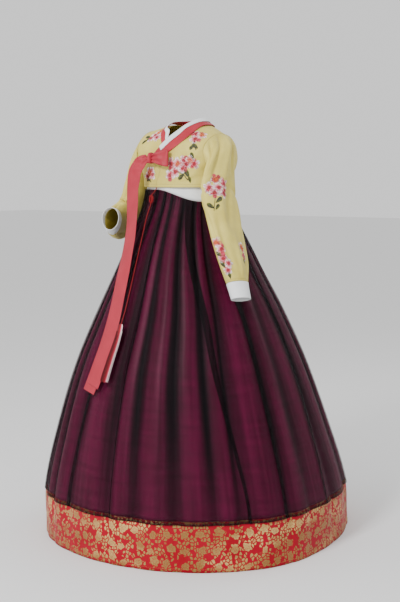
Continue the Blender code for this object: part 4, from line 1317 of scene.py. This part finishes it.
collar_end = len(COLLAR_LINES) - 1
band = cloth("collar", collar_grid(2.0, collar_end, 150, np.linspace(0, 1, 11), pad=0.0007), collar_silk,
             "collar_silk", facing=(0.0, -1.0, 0.2), wall=0.0012)
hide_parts("collar_band")
strip_grid = collar_grid(2.5, collar_end - 1.5, 130, np.linspace(0.58, 1.02, 7), 0.0024, 0.0005)
strip = cloth("white_collar_strip", strip_grid,
              white_cotton, "white_cotton", facing=(0.0, -1.0, 0.2), wall=0.0010)
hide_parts("collar_strip")

# %% [markdown]
# Embroidery
# The jacket carries sprays of blossom in satin stitch. Each petal is a fan of threads laid side by side,
# deep coral near the heart and pale towards the rim. Here every thread is a real raised line. Its ends are
# pressed on to the cloth, and a Geometry Nodes group arches it and makes it round.

# %% Write the satin stitch
def make_embroidery_silk():
    made = Finish("Embroidery silk", Sheen_Weight=0.1, Roughness=0.45, Specular_IOR_Level=0.35)
    shade = made.attribute("thread_colour", "Color")
    place_on = made.node("ShaderNodeTexCoord", None, None, "Object")
    # Painted highlight: small specks where the thread colour turns towards near white; the same noise also
    # bumps the threads.
    painted_glint = made.noise(place_on, 900.0, 2.0)
    made.set(Base_Color=made.mix(painted_glint.step(0.3, 0.8) * 0.07, shade, colour(255, 250, 240)))
    made.bump(painted_glint, 0.25, 0.0003)
    return made.material


def make_stitch_recipe():
    made = Recipe("Satin stitch", Thickness=0.0003)
    curves = made.node("GeometryNodeMeshToCurve", None, {"Mesh": made.input("Geometry")})
    curves = made.node("GeometryNodeResampleCurve", None, {"Curve": curves, "Count": 4})
    along = made.node("GeometryNodeSplineParameter", None, None, "Factor")
    rise = made.attribute("rise", "FLOAT_VECTOR")
    arched = {0: rise, "Scale": (along * math.pi).sin()}
    arch = made.node("ShaderNodeVectorMath", {"operation": "SCALE"}, arched)
    made.serve(made.tubes(made.moved(curves, arch), made.input("Thickness")))
    return made


embroidery_silk = make_embroidery_silk()
satin_stitch = make_stitch_recipe()
CORAL, ROSE = colour(178, 6, 40), colour(216, 60, 92)
BLUSH, PALE = colour(240, 158, 172), colour(255, 246, 244)
ORANGE, GOLDEN = colour(246, 118, 0), colour(252, 184, 24)
OLIVE, LEAF = colour(48, 50, 0), colour(112, 120, 14)
STREAK = (CORAL, CORAL, ROSE)
STREAKED = 0.20


PETAL_SHADES = ((CORAL, ROSE, PALE), (ROSE, BLUSH, PALE), (CORAL, BLUSH, PALE), (CORAL, CORAL, ROSE))


class Needlework:
    """The embroidery of one piece of cloth: threads with a colour, pressed on to the cloth at both ends."""

    def __init__(self, piece, seed):
        mesh = piece.data
        faces = [tuple(face.vertices) for face in mesh.polygons]
        self.tree = BVHTree.FromPolygons([vertex.co[:] for vertex in mesh.vertices], faces)
        self.dice, self.lines, self.rises, self.colours = random.Random(seed), [], [], []

    def hoop(self, spot):
        """The cloth near a point as a flat frame: x to the right and y upwards, seen from outside."""
        spot, normal, *_ = self.tree.find_nearest(Vector(spot))
        up = (Vector((0, 0, 1)) - normal * normal.z).normalized()
        right = up.cross(normal)
        return lambda x, y: spot + right * x + up * y

    def thread(self, start, end, shade, height=0.0005):
        ends = [self.tree.find_nearest(point)[:2] for point in (start, end)]
        self.lines.append([tuple(point + normal * 0.00015) for point, normal in ends])
        self.rises += [tuple(normal * height) for _, normal in ends]
        tone = self.dice.uniform(0.86, 1.0)
        self.colours += [tuple(c * tone for c in shade[:3]) + (1.0,)] * 2

    def petal(self, at, x, y, angle, length, shades):
        count = max(5, round(length * 0.75 / PITCH))
        across, along = (math.cos(angle), math.sin(angle)), (-math.sin(angle), math.cos(angle))

        def spot(t, far):
            side = t * length * 0.40 * min(1.0, 0.25 + far)
            reach = far * length
            return at(x + across[0] * side + along[0] * reach, y + across[1] * side + along[1] * reach)

        for k in range(count):
            t = 2 * (k + 0.5) / count - 1
            deep, middle, rim = STREAK if self.dice.random() < STREAKED else shades
            notch = 0.14 * math.exp(-((t / 0.22) ** 2))
            edge = 1 - 0.42 * abs(t) ** 2.4 - notch + self.dice.uniform(-0.04, 0.04)
            first, second = edge * self.dice.uniform(0.34, 0.5), edge * self.dice.uniform(0.58, 0.8)
            self.thread(spot(t, 0.10), spot(t, first), deep)
            self.thread(spot(t, first * 0.9), spot(t, second), middle)
            self.thread(spot(t, second * 0.94), spot(t, edge), rim)

    def bloom(self, spot, size, petals=5, heart=None, turn=None):
        at = self.hoop(spot)
        size, turn = size * BLOOM_SCALE, self.dice.uniform(0, 6) if turn is None else turn
        for petal in range(petals):
            angle = turn + 2 * math.pi * petal / petals + self.dice.uniform(-0.1, 0.1)
            shades = self.dice.choice(PETAL_SHADES)
            self.petal(at, 0, 0, angle, size * self.dice.uniform(0.88, 1.1), shades)
        for petal in range(petals):
            angle = turn + 2 * math.pi * (petal + 0.5) / petals
            self.petal(at, 0, 0, angle, size * 0.50, (CORAL, CORAL if petal % 2 else ROSE, BLUSH))
        for k in range(15):
            angle, far = 2 * math.pi * k / 15, size * self.dice.uniform(0.22, 0.34) * (1.6 if heart else 1.0)
            tip = (math.cos(angle) * far, math.sin(angle) * far)
            self.thread(at(tip[0] * 0.15, tip[1] * 0.15), at(*tip), heart or CORAL, 0.0020)
            if heart:
                self.thread(at(tip[0] * 0.92, tip[1] * 0.92), at(tip[0] * 1.12, tip[1] * 1.12), GOLDEN,
                            0.0022)

    def lily(self, spot, size):
        """The one flower of a spray whose heart is orange."""
        self.bloom(spot, size, heart=ORANGE)

    def leaf(self, spot, length, angle):
        at, length = self.hoop(spot), length * LEAF_SCALE
        across, along = (math.cos(angle), math.sin(angle)), (-math.sin(angle), math.cos(angle))
        count = round(length / PITCH)
        for k in range(count):
            share = (k + 0.5) / count
            half = length * 0.23 * math.sin(math.pi * share) ** 0.8
            for side in (-1, 1):
                far = share * length + half * 0.7
                edge = [across[i] * side * half + along[i] * (far - length / 2) for i in (0, 1)]
                spine = [along[i] * (share * length - length / 2) for i in (0, 1)]
                self.thread(at(*spine), at(*edge), self.dice.choice((OLIVE, LEAF)) if side > 0 else OLIVE)

    def stem(self, spots):
        stations = [tuple(self.hoop(spot)(0, 0)) for spot in spots]
        path = curve_points(stations, np.linspace(0, len(spots) - 1, 22))
        for i in range(len(path) - 2):
            for side in (-0.0011, -0.0004, 0.0004, 0.0011):
                start, end = Vector(path[i]), Vector(path[i + 2])
                self.thread(start + Vector((side, 0, side)), end + Vector((side, 0, side)), OLIVE)

    def finish(self, name):
        guide = guide_lines(self.lines, rise=self.rises, thread_colour=self.colours)
        return satin_stitch.grow(name, guide, "jacket_silk", Finish=embroidery_silk, Thickness=0.0005)


PITCH = 0.0010
BLOOM_SCALE = 1.6
LEAF_SCALE = 1.6

# %% [markdown]
# Sprays on the jacket
# Each spray has stems, leaves and flowers at places given in the cloth's own grid, so the threads follow the
# cloth wherever it bends.

# %% Embroider the jacket
def on_body(lapped, x, run):
    point = body_points(x, run, lapped)
    return tuple(point if lapped else flipped(point))


def on_sleeve(at, step):
    ring = sleeve_grid(LEFT_SLEEVE, [at], 400, True)[0]
    return tuple(ring[int(round(step / RING_STEPS * 400)) % 400])


BODY_SPRAYS = {
    "left": (
        ("bloom", 0.0376, 0.686, 0.0150), ("lily", 0.0600, 0.680, 0.0150), ("bloom", 0.0290, 0.835, 0.0135),
        ("bloom", 0.0490, 0.790, 0.0145), ("bloom", 0.1110, 0.683, 0.0135), ("bloom", 0.0740, 0.745, 0.0115),
        ("bloom", 0.0850, 0.690, 0.0140), ("lily", 0.0980, 0.640, 0.0130), ("bloom", 0.0780, 0.640, 0.0120),
        ("bloom", 0.1020, 0.339, 0.0145), ("lily", 0.1130, 0.250, 0.0125), ("bloom", 0.0930, 0.270, 0.0115),
        ("leaf", 0.0700, 0.850, 0.019, 2.4), ("leaf", 0.0880, 0.820, 0.021, 0.5),
        ("leaf", 0.1060, 0.585, 0.018, 0.4),
        ("leaf", 0.1130, 0.445, 0.019, 0.9), ("leaf", 0.1020, 0.450, 0.017, 2.6),
        ("leaf", 0.0950, 0.900, 0.014, 0.2),
    ),
    "right": (
        ("bloom", 0.0741, 0.286, 0.0155), ("lily", 0.0640, 0.250, 0.0140), ("bloom", 0.0600, 0.330, 0.0130),
        ("bloom", 0.0860, 0.330, 0.0120), ("lily", 0.0680, 0.795, 0.0150), ("bloom", 0.0790, 0.845, 0.0110),
        ("bloom", 0.0540, 0.825, 0.0115), ("bloom", 0.0560, 0.770, 0.0090),
        ("leaf", 0.1080, 0.300, 0.020, 1.3), ("leaf", 0.1130, 0.370, 0.018, 2.2),
        ("leaf", 0.0930, 0.340, 0.018, 1.8),
        ("leaf", 0.0690, 0.895, 0.015, 0.6), ("leaf", 0.0800, 0.885, 0.014, 2.4),
    ),
}
BODY_STEMS = {
    "left": (((0.0560, 0.790), (0.0740, 0.820), (0.0895, 0.900)),
             ((0.1030, 0.370), (0.1080, 0.430), (0.1190, 0.500))),
    "right": (((0.0800, 0.300), (0.0980, 0.320), (0.1190, 0.380)),
              ((0.0728, 0.830), (0.0735, 0.870), (0.0745, 0.920))),
}
SLEEVE_SPRAYS = (
    ("bloom", 3.62, 6.40, 0.0145), ("lily", 3.42, 7.90, 0.0150), ("bloom", 3.70, 9.40, 0.0145),
    ("bloom", 4.00, 7.30, 0.0150), ("bloom", 4.12, 9.00, 0.0135), ("bloom", 3.86, 8.20, 0.0150),
    ("leaf", 4.52, 6.20, 0.020, 1.0), ("leaf", 4.42, 8.00, 0.020, -0.9), ("leaf", 4.70, 7.50, 0.015, -0.6),
    ("lily", 6.12, 5.10, 0.0130), ("bloom", 6.48, 6.10, 0.0140), ("bloom", 6.86, 5.70, 0.0125),
    ("bloom", 7.12, 6.60, 0.0115), ("bloom", 7.40, 5.80, 0.0110),
    ("leaf", 6.62, 4.80, 0.018, 1.2), ("leaf", 7.10, 5.00, 0.017, 0.6), ("leaf", 7.66, 5.70, 0.015, 0.3),
    ("lily", 6.40, 10.70, 0.0130), ("bloom", 6.78, 11.10, 0.0120), ("leaf", 7.05, 10.90, 0.016, 0.4),
)
needles = {side: Needlework(bodies[side], seed) for seed, side in enumerate(("left", "right"), 11)}
for side, needle in needles.items():
    for kind, x, run, size, *turn in BODY_SPRAYS[side]:
        getattr(needle, kind)(on_body(side == "left", x, run), size, *turn)
    for spots in BODY_STEMS[side]:
        needle.stem([on_body(side == "left", x, run) for x, run in spots])
arm = Needlework(sleeves["left"], 5)
for kind, at, step, size, *turn in SLEEVE_SPRAYS:
    getattr(arm, kind)(on_sleeve(at, step), size, *turn)
arm.stem([on_sleeve(at, step) for at, step in ((4.05, 7.8), (4.35, 7.3), (4.80, 6.7))])
embroideries = [needles["left"].finish("embroidery_left"), needles["right"].finish("embroidery_right")]
embroideries.append(arm.finish("embroidery_sleeve"))


# %% [markdown]
# Seams
# Hand sewing shows as a row of small running stitches beside each seam. A Geometry Nodes group lays them:
# it walks along a guide line and sets one short rounded stitch at every step, turned along the line. The
# guides are rows of the cloth's own grids, so the stitches follow every crease.

# %% Lay the running stitches
def make_running_recipe():
    made = Recipe("Running stitch", Spacing=0.0042, Length=0.0026, Thickness=0.0003)
    curves = made.node("GeometryNodeMeshToCurve", None, {"Mesh": made.input("Geometry")})
    walk = made.tree.nodes.new("GeometryNodeCurveToPoints")
    walk.mode = "LENGTH"
    made.feed(walk.inputs["Curve"], curves)
    made.feed(walk.inputs["Length"], made.input("Spacing"))
    stitch = {"Vertices": 6, "Radius": made.input("Thickness"), "Depth": made.input("Length")}
    stitch = made.node("GeometryNodeMeshCylinder", None, stitch)
    turned = {"Vector": Channel(made, walk.outputs["Tangent"])}
    turned = made.node("FunctionNodeAlignRotationToVector", {"axis": "Z"}, turned)
    laid = {"Points": Channel(made, walk.outputs["Points"]), "Instance": stitch, "Rotation": turned}
    made.serve(made.node("GeometryNodeInstanceOnPoints", None, laid))
    return made


def make_thread(name, shade, metallic=0.0):
    made = Finish(name, Specular_IOR_Level=0.4, Sheen_Weight=0.1, Metallic=metallic)
    spot = made.node("ShaderNodeTexCoord", None, None, "Object")
    twist = made.noise(spot, 2500.0, 1.0)
    dark = made.mix(twist.step(0.3, 0.7) * 0.35, shade, colour(60, 44, 30))
    made.set(Base_Color=dark, Roughness=0.45 + twist * 0.2)
    made.bump(twist, 0.3, 0.0002)
    return made.material


def row_line(grid, row, around=False, lift=0.0004, inside=None):
    """A row of a cloth's grid, lifted just off the cloth."""
    line = (grid + outward_of(grid, around, inside) * lift)[row]
    return np.concatenate([line, line[:1]]) if around else line


running_stitch = make_running_recipe()
olive_thread = make_thread("Olive thread", colour(150, 132, 56))
gold_thread = make_thread("Gold thread", colour(206, 160, 84), 0.4)
jacket_lines = [row_line(grid, row, inside=INSIDE_CHEST) for grid in body_grids.values() for row in (3, -4)]
jacket_lines += [row_line(grid, row, True) for grid in sleeve_grids.values() for row in (2, -3)]
seam_guides = guide_lines(jacket_lines)
seam_stitches = running_stitch.grow("jacket_seam_stitches", seam_guides, "jacket_silk", Finish=olive_thread)
border_guides = guide_lines([row_line(brocade_grid, -2, True)])
border_stitches = running_stitch.grow("border_stitches", border_guides, "hem_brocade", Finish=gold_thread)
print("seams sewn on the jacket:", len(jacket_lines))

# %% [markdown]
# The ribbon
# The goreum is tied in a half bow: one loop to the wearer's left, a knot, and two long tails that lie on
# each other and swing down the skirt. Each is a strip along a line of places with a width at each.

# %% Tie the ribbon
LOOP = (
    (-0.0299, -0.1420, 1.3190, 0.026), (-0.0140, -0.1415, 1.3190, 0.036), (0.0030, -0.1410, 1.3185, 0.046),
    (0.0200, -0.1415, 1.3180, 0.053), (0.0340, -0.1450, 1.3175, 0.056), (0.0370, -0.1510, 1.3175, 0.056),
    (0.0300, -0.1570, 1.3180, 0.055), (0.0100, -0.1590, 1.3185, 0.048), (-0.0120, -0.1580, 1.3190, 0.036),
    (-0.0299, -0.1550, 1.3190, 0.026),
)
TAIL = (
    (-0.0510, -0.1510, 1.3175, 0.028), (-0.0680, -0.1570, 1.3110, 0.038), (-0.0870, -0.1620, 1.2950, 0.044),
    (-0.1000, -0.1660, 1.2660, 0.046), (-0.1020, -0.1710, 1.2200, 0.047), (-0.0910, -0.1870, 1.1500, 0.048),
    (-0.0750, -0.2170, 1.0700, 0.048), (-0.0640, -0.2500, 0.9900, 0.049), (-0.0570, -0.2960, 0.8800, 0.050),
    (-0.0560, -0.3440, 0.7550, 0.051), (-0.0700, -0.3850, 0.6400, 0.052), (-0.0990, -0.4070, 0.5450, 0.053),
)
SHORT_TAIL_BESIDE = 0.010
SHORT_TAIL_OVER = 0.0026
SHORT_TAIL_END = 10.68


def ribbon_grid(table, rows, columns, beside=0.0, over=0.0, stop=None, upright=False):
    middles = placed([row[:3] for row in table])
    widths = np.array([(row[3], 0.0, 0.0) for row in table])
    last = len(table) - 1 if stop is None else stop
    at = np.linspace(0, last, rows)
    middle, width = curve_points(middles, at), curve_points(widths, at)[:, :1]
    step = 0.05
    after, before = np.minimum(last, at + step), np.maximum(0, at - step)
    along = curve_points(middles, after) - curve_points(middles, before)
    facing_front = smooth((at - 3.0) / 4.0)[:, None]
    outward = unit(middle * (np.array([0.0, 1.0, 0.0]) + facing_front * np.array([0.6, 0.0, 0.0])))
    side = np.broadcast_to([0.0, 0.0, 1.0], middle.shape) if upright else unit(np.cross(along, outward))
    front = unit(np.cross(side, along))
    middle = middle - side * (beside * smooth(at / 2))[:, None] + front * over
    across = np.linspace(-0.5, 0.5, columns)
    spread = side[:, None, :] * width[:, None, :] * across[None, :, None]
    return middle[:, None, :] + spread, front, at, across


TAIL_WAVES = (
    # place along the tail, slant, height and width of each soft wave
    (0.7, 1.6, 0.0020, 0.22), (1.5, 1.2, -0.0022, 0.30), (2.3, 1.0, 0.0024, 0.34), (3.2, -0.8, -0.0018, 0.40),
    (4.5, 0.7, 0.0020, 0.55), (6.0, -0.9, -0.0018, 0.60), (7.3, 0.9, 0.0020, 0.55),
    (8.6, -0.7, -0.0016, 0.50),
    (9.7, 0.6, 0.0016, 0.40),
)


def tail_piece(name, node, **shape):
    grid, front, at, across = ribbon_grid(TAIL, 200, 15, **shape)
    swell = np.zeros(grid.shape[:2])
    for place_at, slant, size, width in TAIL_WAVES:
        swell += size * np.exp(-(((at[:, None] - place_at - slant * across[None, :]) / width) ** 2))
    pleat = 0.0018 * np.cos(across * math.pi * 5)[None, :] * (1 - smooth(at / 2.4))[:, None]
    grid = grid + front[:, None, :] * (swell + pleat)[..., None]
    piece = cloth(name, grid, coral_silk, "ribbon_silk", facing=(0.0, -1.0, 0.2), wall=0.0010)
    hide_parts(node)
    return piece


long_tail = tail_piece("silk_tail_long", "ribbon_tail_long")
short_tail = tail_piece("silk_tail_short", "ribbon_tail_short", beside=SHORT_TAIL_BESIDE,
                        over=SHORT_TAIL_OVER,
                        stop=SHORT_TAIL_END)

loop_rows, loop_front, loop_at, loop_across = ribbon_grid(LOOP, 110, 15, upright=True)
gathered = np.maximum(1 - smooth(loop_at / 3.2), smooth((loop_at - 5.8) / 3.2))
fan = 0.0026 * np.cos(loop_across * math.pi * 5 + 0.6)[None, :] * gathered[:, None]
dents = 0.0030 * np.exp(-(((loop_at[:, None] - 7.2 - 1.6 * loop_across[None, :]) / 0.5) ** 2))
dents -= 0.0024 * np.exp(-(((loop_at[:, None] - 6.2 + 1.2 * loop_across[None, :]) / 0.5) ** 2))
loop_rows = loop_rows + loop_front[:, None, :] * (fan + dents)[..., None]
LOOP_MIDDLE = (0.0, -0.150, 1.3185 - HELD_HEIGHT)
loop = cloth("silk_loop", loop_rows, coral_silk, "ribbon_silk", inside=LOOP_MIDDLE, wall=0.0010)
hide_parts("ribbon_loop")


# %% [markdown]
# The knot
# The knot is the ribbon wrapped once round itself. It is a rounded form with soft folds that run slanting
# down across it, drawn as a grid over a rounded box.

# %% Wrap the knot
def knot_grid(middle, half, rows, columns, folds, slant, depth):
    down = np.linspace(0.02, math.pi - 0.02, rows)[:, None]
    turn = np.linspace(0, 2 * math.pi, columns, endpoint=False)[None, :]
    ball = np.stack([np.sin(down) * np.sin(turn), -np.sin(down) * np.cos(turn), np.cos(down) + 0 * turn], -1)
    boxed = ball / (np.abs(ball) ** 3).sum(-1, keepdims=True) ** (1 / 3)
    wave = np.sin(folds * (boxed[..., 0] + slant * boxed[..., 2]))
    boxed = boxed * (1 + depth * wave * np.sin(down) ** 2)[..., None]
    return placed([middle])[0] + boxed * np.array(half)


knot_rows = knot_grid((-0.0385, -0.1463, 1.3190), (0.0085, 0.0167, 0.0190), 60, 80, 5.0, 0.35, 0.045)
knot = cloth("silk_knot", knot_rows, coral_silk, "ribbon_silk", around=True, wall=0.0)
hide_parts("ribbon_knot")

# %% [markdown]
# The hanging ornament
# A norigae hangs from under the jacket's hem: a red silk cord with a braided knot, and a flat tassel whose
# threads pass from dark red over pink to white. The cord is a tube along its route, with a twist in its
# pattern.

# %% Make the cord and tassel silks
def make_cord_silk():
    made = Finish("Red silk cord", Sheen_Weight=0.03, Specular_IOR_Level=0.25)
    both, u, v = made.uv()
    plies = ((u * 2 + v * 500) * math.pi).sin().absolute()
    threads = ((u * 2 + v * 500) * (math.pi * 7)).sin().absolute()
    made.set(Base_Color=made.mix(plies * 0.7 + threads * 0.3, colour(60, 0, 6), colour(158, 8, 22)),
             Roughness=0.45 + threads * 0.1)
    made.bump(plies + threads * 0.2, 0.6, 0.0006)
    return made.material


def make_tassel_silk():
    made = Finish("Tassel silk", Sheen_Weight=0.04, Specular_IOR_Level=0.3, Roughness=0.5)
    spot = made.node("ShaderNodeTexCoord", None, None, "Object")
    grain = made.noise(made.stretched(spot, (900.0, 900.0, 60.0)), 1.0, 2.0)
    stops = (
        (0.0, colour(70, 0, 10)), (0.60, colour(120, 0, 16)), (0.78, colour(176, 6, 36)),
        (0.88, colour(230, 84, 112)), (0.955, colour(246, 200, 206)), (1.0, colour(252, 248, 246)),
    )
    ramp = made.tree.nodes.new("ShaderNodeValToRGB")
    ends = ramp.color_ramp.elements
    ends[0].color, ends[1].color = stops[0][1], stops[-1][1]
    for position, shade in stops[1:-1]:
        ends.new(position).color = shade
    made.feed(ramp.inputs[0], made.attribute("across") + grain * 0.1 - 0.05)
    made.set(Base_Color=Channel(made, ramp.outputs[0]))
    made.bump(grain, 0.4, 0.0004)
    return made.material


cord_silk = make_cord_silk()
tassel_silk = make_tassel_silk()
print("ornament finishes:", cord_silk.name, "and", tassel_silk.name)

# %% [markdown]
# The cord
# A cord is a tube along its route: rings of points, each square to the way the line runs there.

# %% Hang the cord
CORD_ROUTE = (
    (-0.0300, -0.1264, 1.2196), (-0.0303, -0.1312, 1.2120), (-0.0308, -0.1420, 1.2020),
    (-0.0311, -0.1530, 1.1940),
    (-0.0312, -0.1550, 1.1800), (-0.0312, -0.1565, 1.1662), (-0.0290, -0.1850, 1.1150),
    (-0.0230, -0.2220, 1.0350),
    (-0.0160, -0.2680, 0.9350), (-0.0100, -0.3130, 0.8350), (-0.0098, -0.3416, 0.7730),
    (-0.0108, -0.3530, 0.7430),
    (-0.0125, -0.3680, 0.7060), (-0.0165, -0.3900, 0.6560), (-0.0220, -0.4150, 0.5900),
)
CORD_RADIUS = 0.0015


def tube_grid(path, radius, sides):
    """Rings round a path of points."""
    along = unit(np.gradient(path, axis=0))
    first = unit(np.cross(along, np.array([1.0, 0.0, 0.0])))
    second = np.cross(along, first)
    turn = np.linspace(0, 2 * math.pi, sides, endpoint=False)[None, :, None]
    return path[:, None, :] + (first[:, None, :] * np.cos(turn) + second[:, None, :] * np.sin(turn)) * radius


cord_path = curve_points(placed(CORD_ROUTE), np.linspace(0, len(CORD_ROUTE) - 1, 240))
cord_tube = tube_grid(cord_path, CORD_RADIUS, 12)
cord = cloth("hanging_cord", cord_tube, cord_silk, "ornament_cord", around=True, wall=0.0,
             u=np.linspace(0, 1, 13), v=lengths_along(cord_path))
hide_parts("ornament_cord_top", "ornament_cord")

# %% [markdown]
# The braided knot
# The knot at the top of the ornament is one cord that winds round a rounded form again and again, so one
# long line over that form is enough.


# %% Braid the ornament's knot
def braid_path(middle, half, count, turns, weave):
    share = np.linspace(0, 2 * math.pi, count)
    across = np.sin(share * turns)
    x = np.cos(share * weave) * (0.72 + 0.22 * np.cos(share * turns * 2))
    z = np.sin(share * weave) * (0.80 + 0.16 * across)
    y = 0.55 * np.sin(share * (turns * 2 + 1))
    return placed([middle])[0] + np.stack([x, y, z], -1) * np.array(half)


braid_line = braid_path((-0.0312, -0.1550, 1.1800), (0.0085, 0.0055, 0.0135), 420, 4, 5)
braid = cloth("braided_knot", tube_grid(braid_line, 0.0013, 8), cord_silk, "ornament_cord", around=True,
              wall=0.0)
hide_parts("ornament_knot")
print("points along the braid:", len(braid_line))

# %% [markdown]
# The tassel
# A tassel is a bundle of threads tied at the top. The head is a small closed form, and a Geometry Nodes group
# turns every guide line into a thin round strand.

# %% Hang the tassel
TASSEL = np.array((
    # x, y, height, half width, half depth
    (-0.0098, -0.3440, 0.7720, 0.0060, 0.0030),
    (-0.0099, -0.3460, 0.7670, 0.0092, 0.0042),
    (-0.0102, -0.3490, 0.7560, 0.0096, 0.0044),
    (-0.0108, -0.3530, 0.7430, 0.0096, 0.0044),
    (-0.0125, -0.3680, 0.7060, 0.0108, 0.0050),
    (-0.0165, -0.3900, 0.6560, 0.0118, 0.0055),
    (-0.0225, -0.4170, 0.5860, 0.0128, 0.0060),
))
STRANDS = 150


def make_strand_recipe():
    made = Recipe("Tassel strands", Thickness=0.00055, Stray=0.0007, Seed=7.0)
    curves = made.node("GeometryNodeMeshToCurve", None, {"Mesh": made.input("Geometry")})
    curves = made.node("GeometryNodeResampleCurve", None, {"Curve": curves, "Count": 16})
    along = made.node("GeometryNodeSplineParameter", None, None, "Factor")
    spot = made.node("GeometryNodeInputPosition")
    noise = {"Vector": spot, "W": made.input("Seed"), "Scale": 90.0}
    drift = made.node("ShaderNodeTexNoise", {"noise_dimensions": "4D"}, noise, "Color")
    centred = made.node("ShaderNodeVectorMath", {"operation": "SUBTRACT"}, {0: drift, 1: (0.5, 0.5, 0.5)})
    offset = {0: centred, "Scale": along * made.input("Stray") * 2}
    curves = made.moved(curves, made.node("ShaderNodeVectorMath", {"operation": "SCALE"}, offset))
    made.serve(made.tubes(curves, made.input("Thickness"), 4))
    return made


dice = random.Random(7)
strand_lines, strand_shares = [], []
for strand in range(STRANDS):
    across, deep, long = dice.uniform(-1, 1), dice.uniform(-1, 1), dice.uniform(0.96, 1.0)
    spots = curve_points(TASSEL, np.linspace(2.6, 6.0, 12))
    height = spots[0, 2] + (spots[:, 2] - spots[0, 2]) * long
    strand_lines.append(place(spots[:, 0] + across * spots[:, 3], spots[:, 1] + deep * spots[:, 4], height))
    strand_shares += [across / 2 + 0.5] * len(spots)
strands = make_strand_recipe().grow("tassel_strands", guide_lines(strand_lines, across=strand_shares),
                             "ornament_tassel",
                                    Finish=tassel_silk)

head_at = np.linspace(0, 3.2, 34)
head_row = curve_points(TASSEL, head_at)
turn = np.linspace(0, 2 * math.pi, 40, endpoint=False)
wraps = 1 + 0.06 * np.sin(head_at * 15)
head = np.stack([
    head_row[:, 0:1] + head_row[:, 3:4] * wraps[:, None] * np.sin(turn),
    head_row[:, 1:2] - head_row[:, 4:5] * wraps[:, None] * np.cos(turn),
    head_row[:, 2:3] - HELD_HEIGHT + 0 * turn,
], -1)
tassel_head = cloth("tassel_head", head, tassel_silk, "ornament_tassel", around=True, wall=0.0,
                    across=np.broadcast_to(np.sin(turn) / 2 + 0.5, head.shape[:2]))
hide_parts("ornament_tassel")
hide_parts("ornament_tassel")
print("strands in the tassel:", len(strand_lines))

# %% [markdown]
# Light and floor
# A big soft light from the front left, a weaker one from the right and one behind give form to the folds
# without hard shadows, on a plain pale floor.

# %% Set up the studio
floor_mesh = bpy.data.meshes.new("floor")
floor_mesh.from_pydata(place([-30, 30, 30, -30], [-30, -30, 30, 30], -0.001), [], [(0, 1, 2, 3)])
floor_paper = Finish("Pale paper", Roughness=0.9, Base_Color=(0.82, 0.82, 0.82, 1.0), Specular_IOR_Level=0.2)
floor_mesh.materials.append(floor_paper.material)
floor = bpy.data.objects.new("floor", floor_mesh)
bpy.context.scene.collection.objects.link(floor)

world = bpy.data.worlds.new("Studio")
world.use_nodes = True
world.node_tree.nodes["Background"].inputs[0].default_value = (1.0, 1.0, 1.0, 1.0)
world.node_tree.nodes["Background"].inputs[1].default_value = 1.0
bpy.context.scene.world = world


def soft_light(name, position, target, size, power):
    data = bpy.data.lights.new(name, "AREA")
    data.size, data.energy = size, power
    lamp = bpy.data.objects.new(name, data)
    lamp.location = position
    lamp.rotation_euler = (Vector(target) - Vector(position)).to_track_quat("-Z", "Y").to_euler()
    bpy.context.scene.collection.objects.link(lamp)


soft_light("Key light", (0.4, -3.9, 1.7), (0, 0, -0.5), 0.9, 190)
soft_light("Side light", (-3.0, -2.0, 0.6), (0, 0, -0.5), 1.6, 10)
soft_light("Back light", (0.8, 3.2, 1.8), (0, 0, -0.4), 1.8, 30)

def cloth_area(piece):
    """The area of one side of a cloth in square metres."""
    return sum(face.area for face in piece.data.polygons)


SHEETS = (
    # piece, width and length of its cut, area of the cut where it is shaped, how it is held, and on what
    (satin, (3.50, 1.06), 2.70, "gathered", [waistband]),
    (organza, (3.60, 1.08), 2.80, "gathered", [waistband]),
    (brocade, (3.60, 0.17), None, "hung", [satin]),
    (waistband, (0.88, 0.13), None, "stretched", []),
    (bodies["left"], (0.21, 0.46), None, "draped", []),
    (bodies["right"], (0.21, 0.46), None, "draped", []),
    (sleeves["left"], (0.42, 0.56), 0.19, "hung", []),
    (sleeves["right"], (0.38, 0.52), 0.15, "hung", []),
    (cuffs["left"], (0.28, 0.06), None, "hung", [sleeves["left"]]),
    (cuffs["right"], (0.26, 0.06), None, "hung", [sleeves["right"]]),
    (band, (0.04, 0.66), None, "draped", [bodies["left"], bodies["right"]]),
    (strip, (0.02, 0.56), None, "draped", [band]),
    (loop, (0.055, 0.16), None, "folded", [knot]),
    (long_tail, (0.05, 0.90), None, "hung", [knot]),
    (short_tail, (0.05, 0.88), None, "hung", [knot]),
)
for piece, flat, area, held, rests in SHEETS:
    print(piece.name, "cut", flat, "area", round(cloth_area(piece), 4), "of",
          round(area or flat[0] * flat[1], 4))
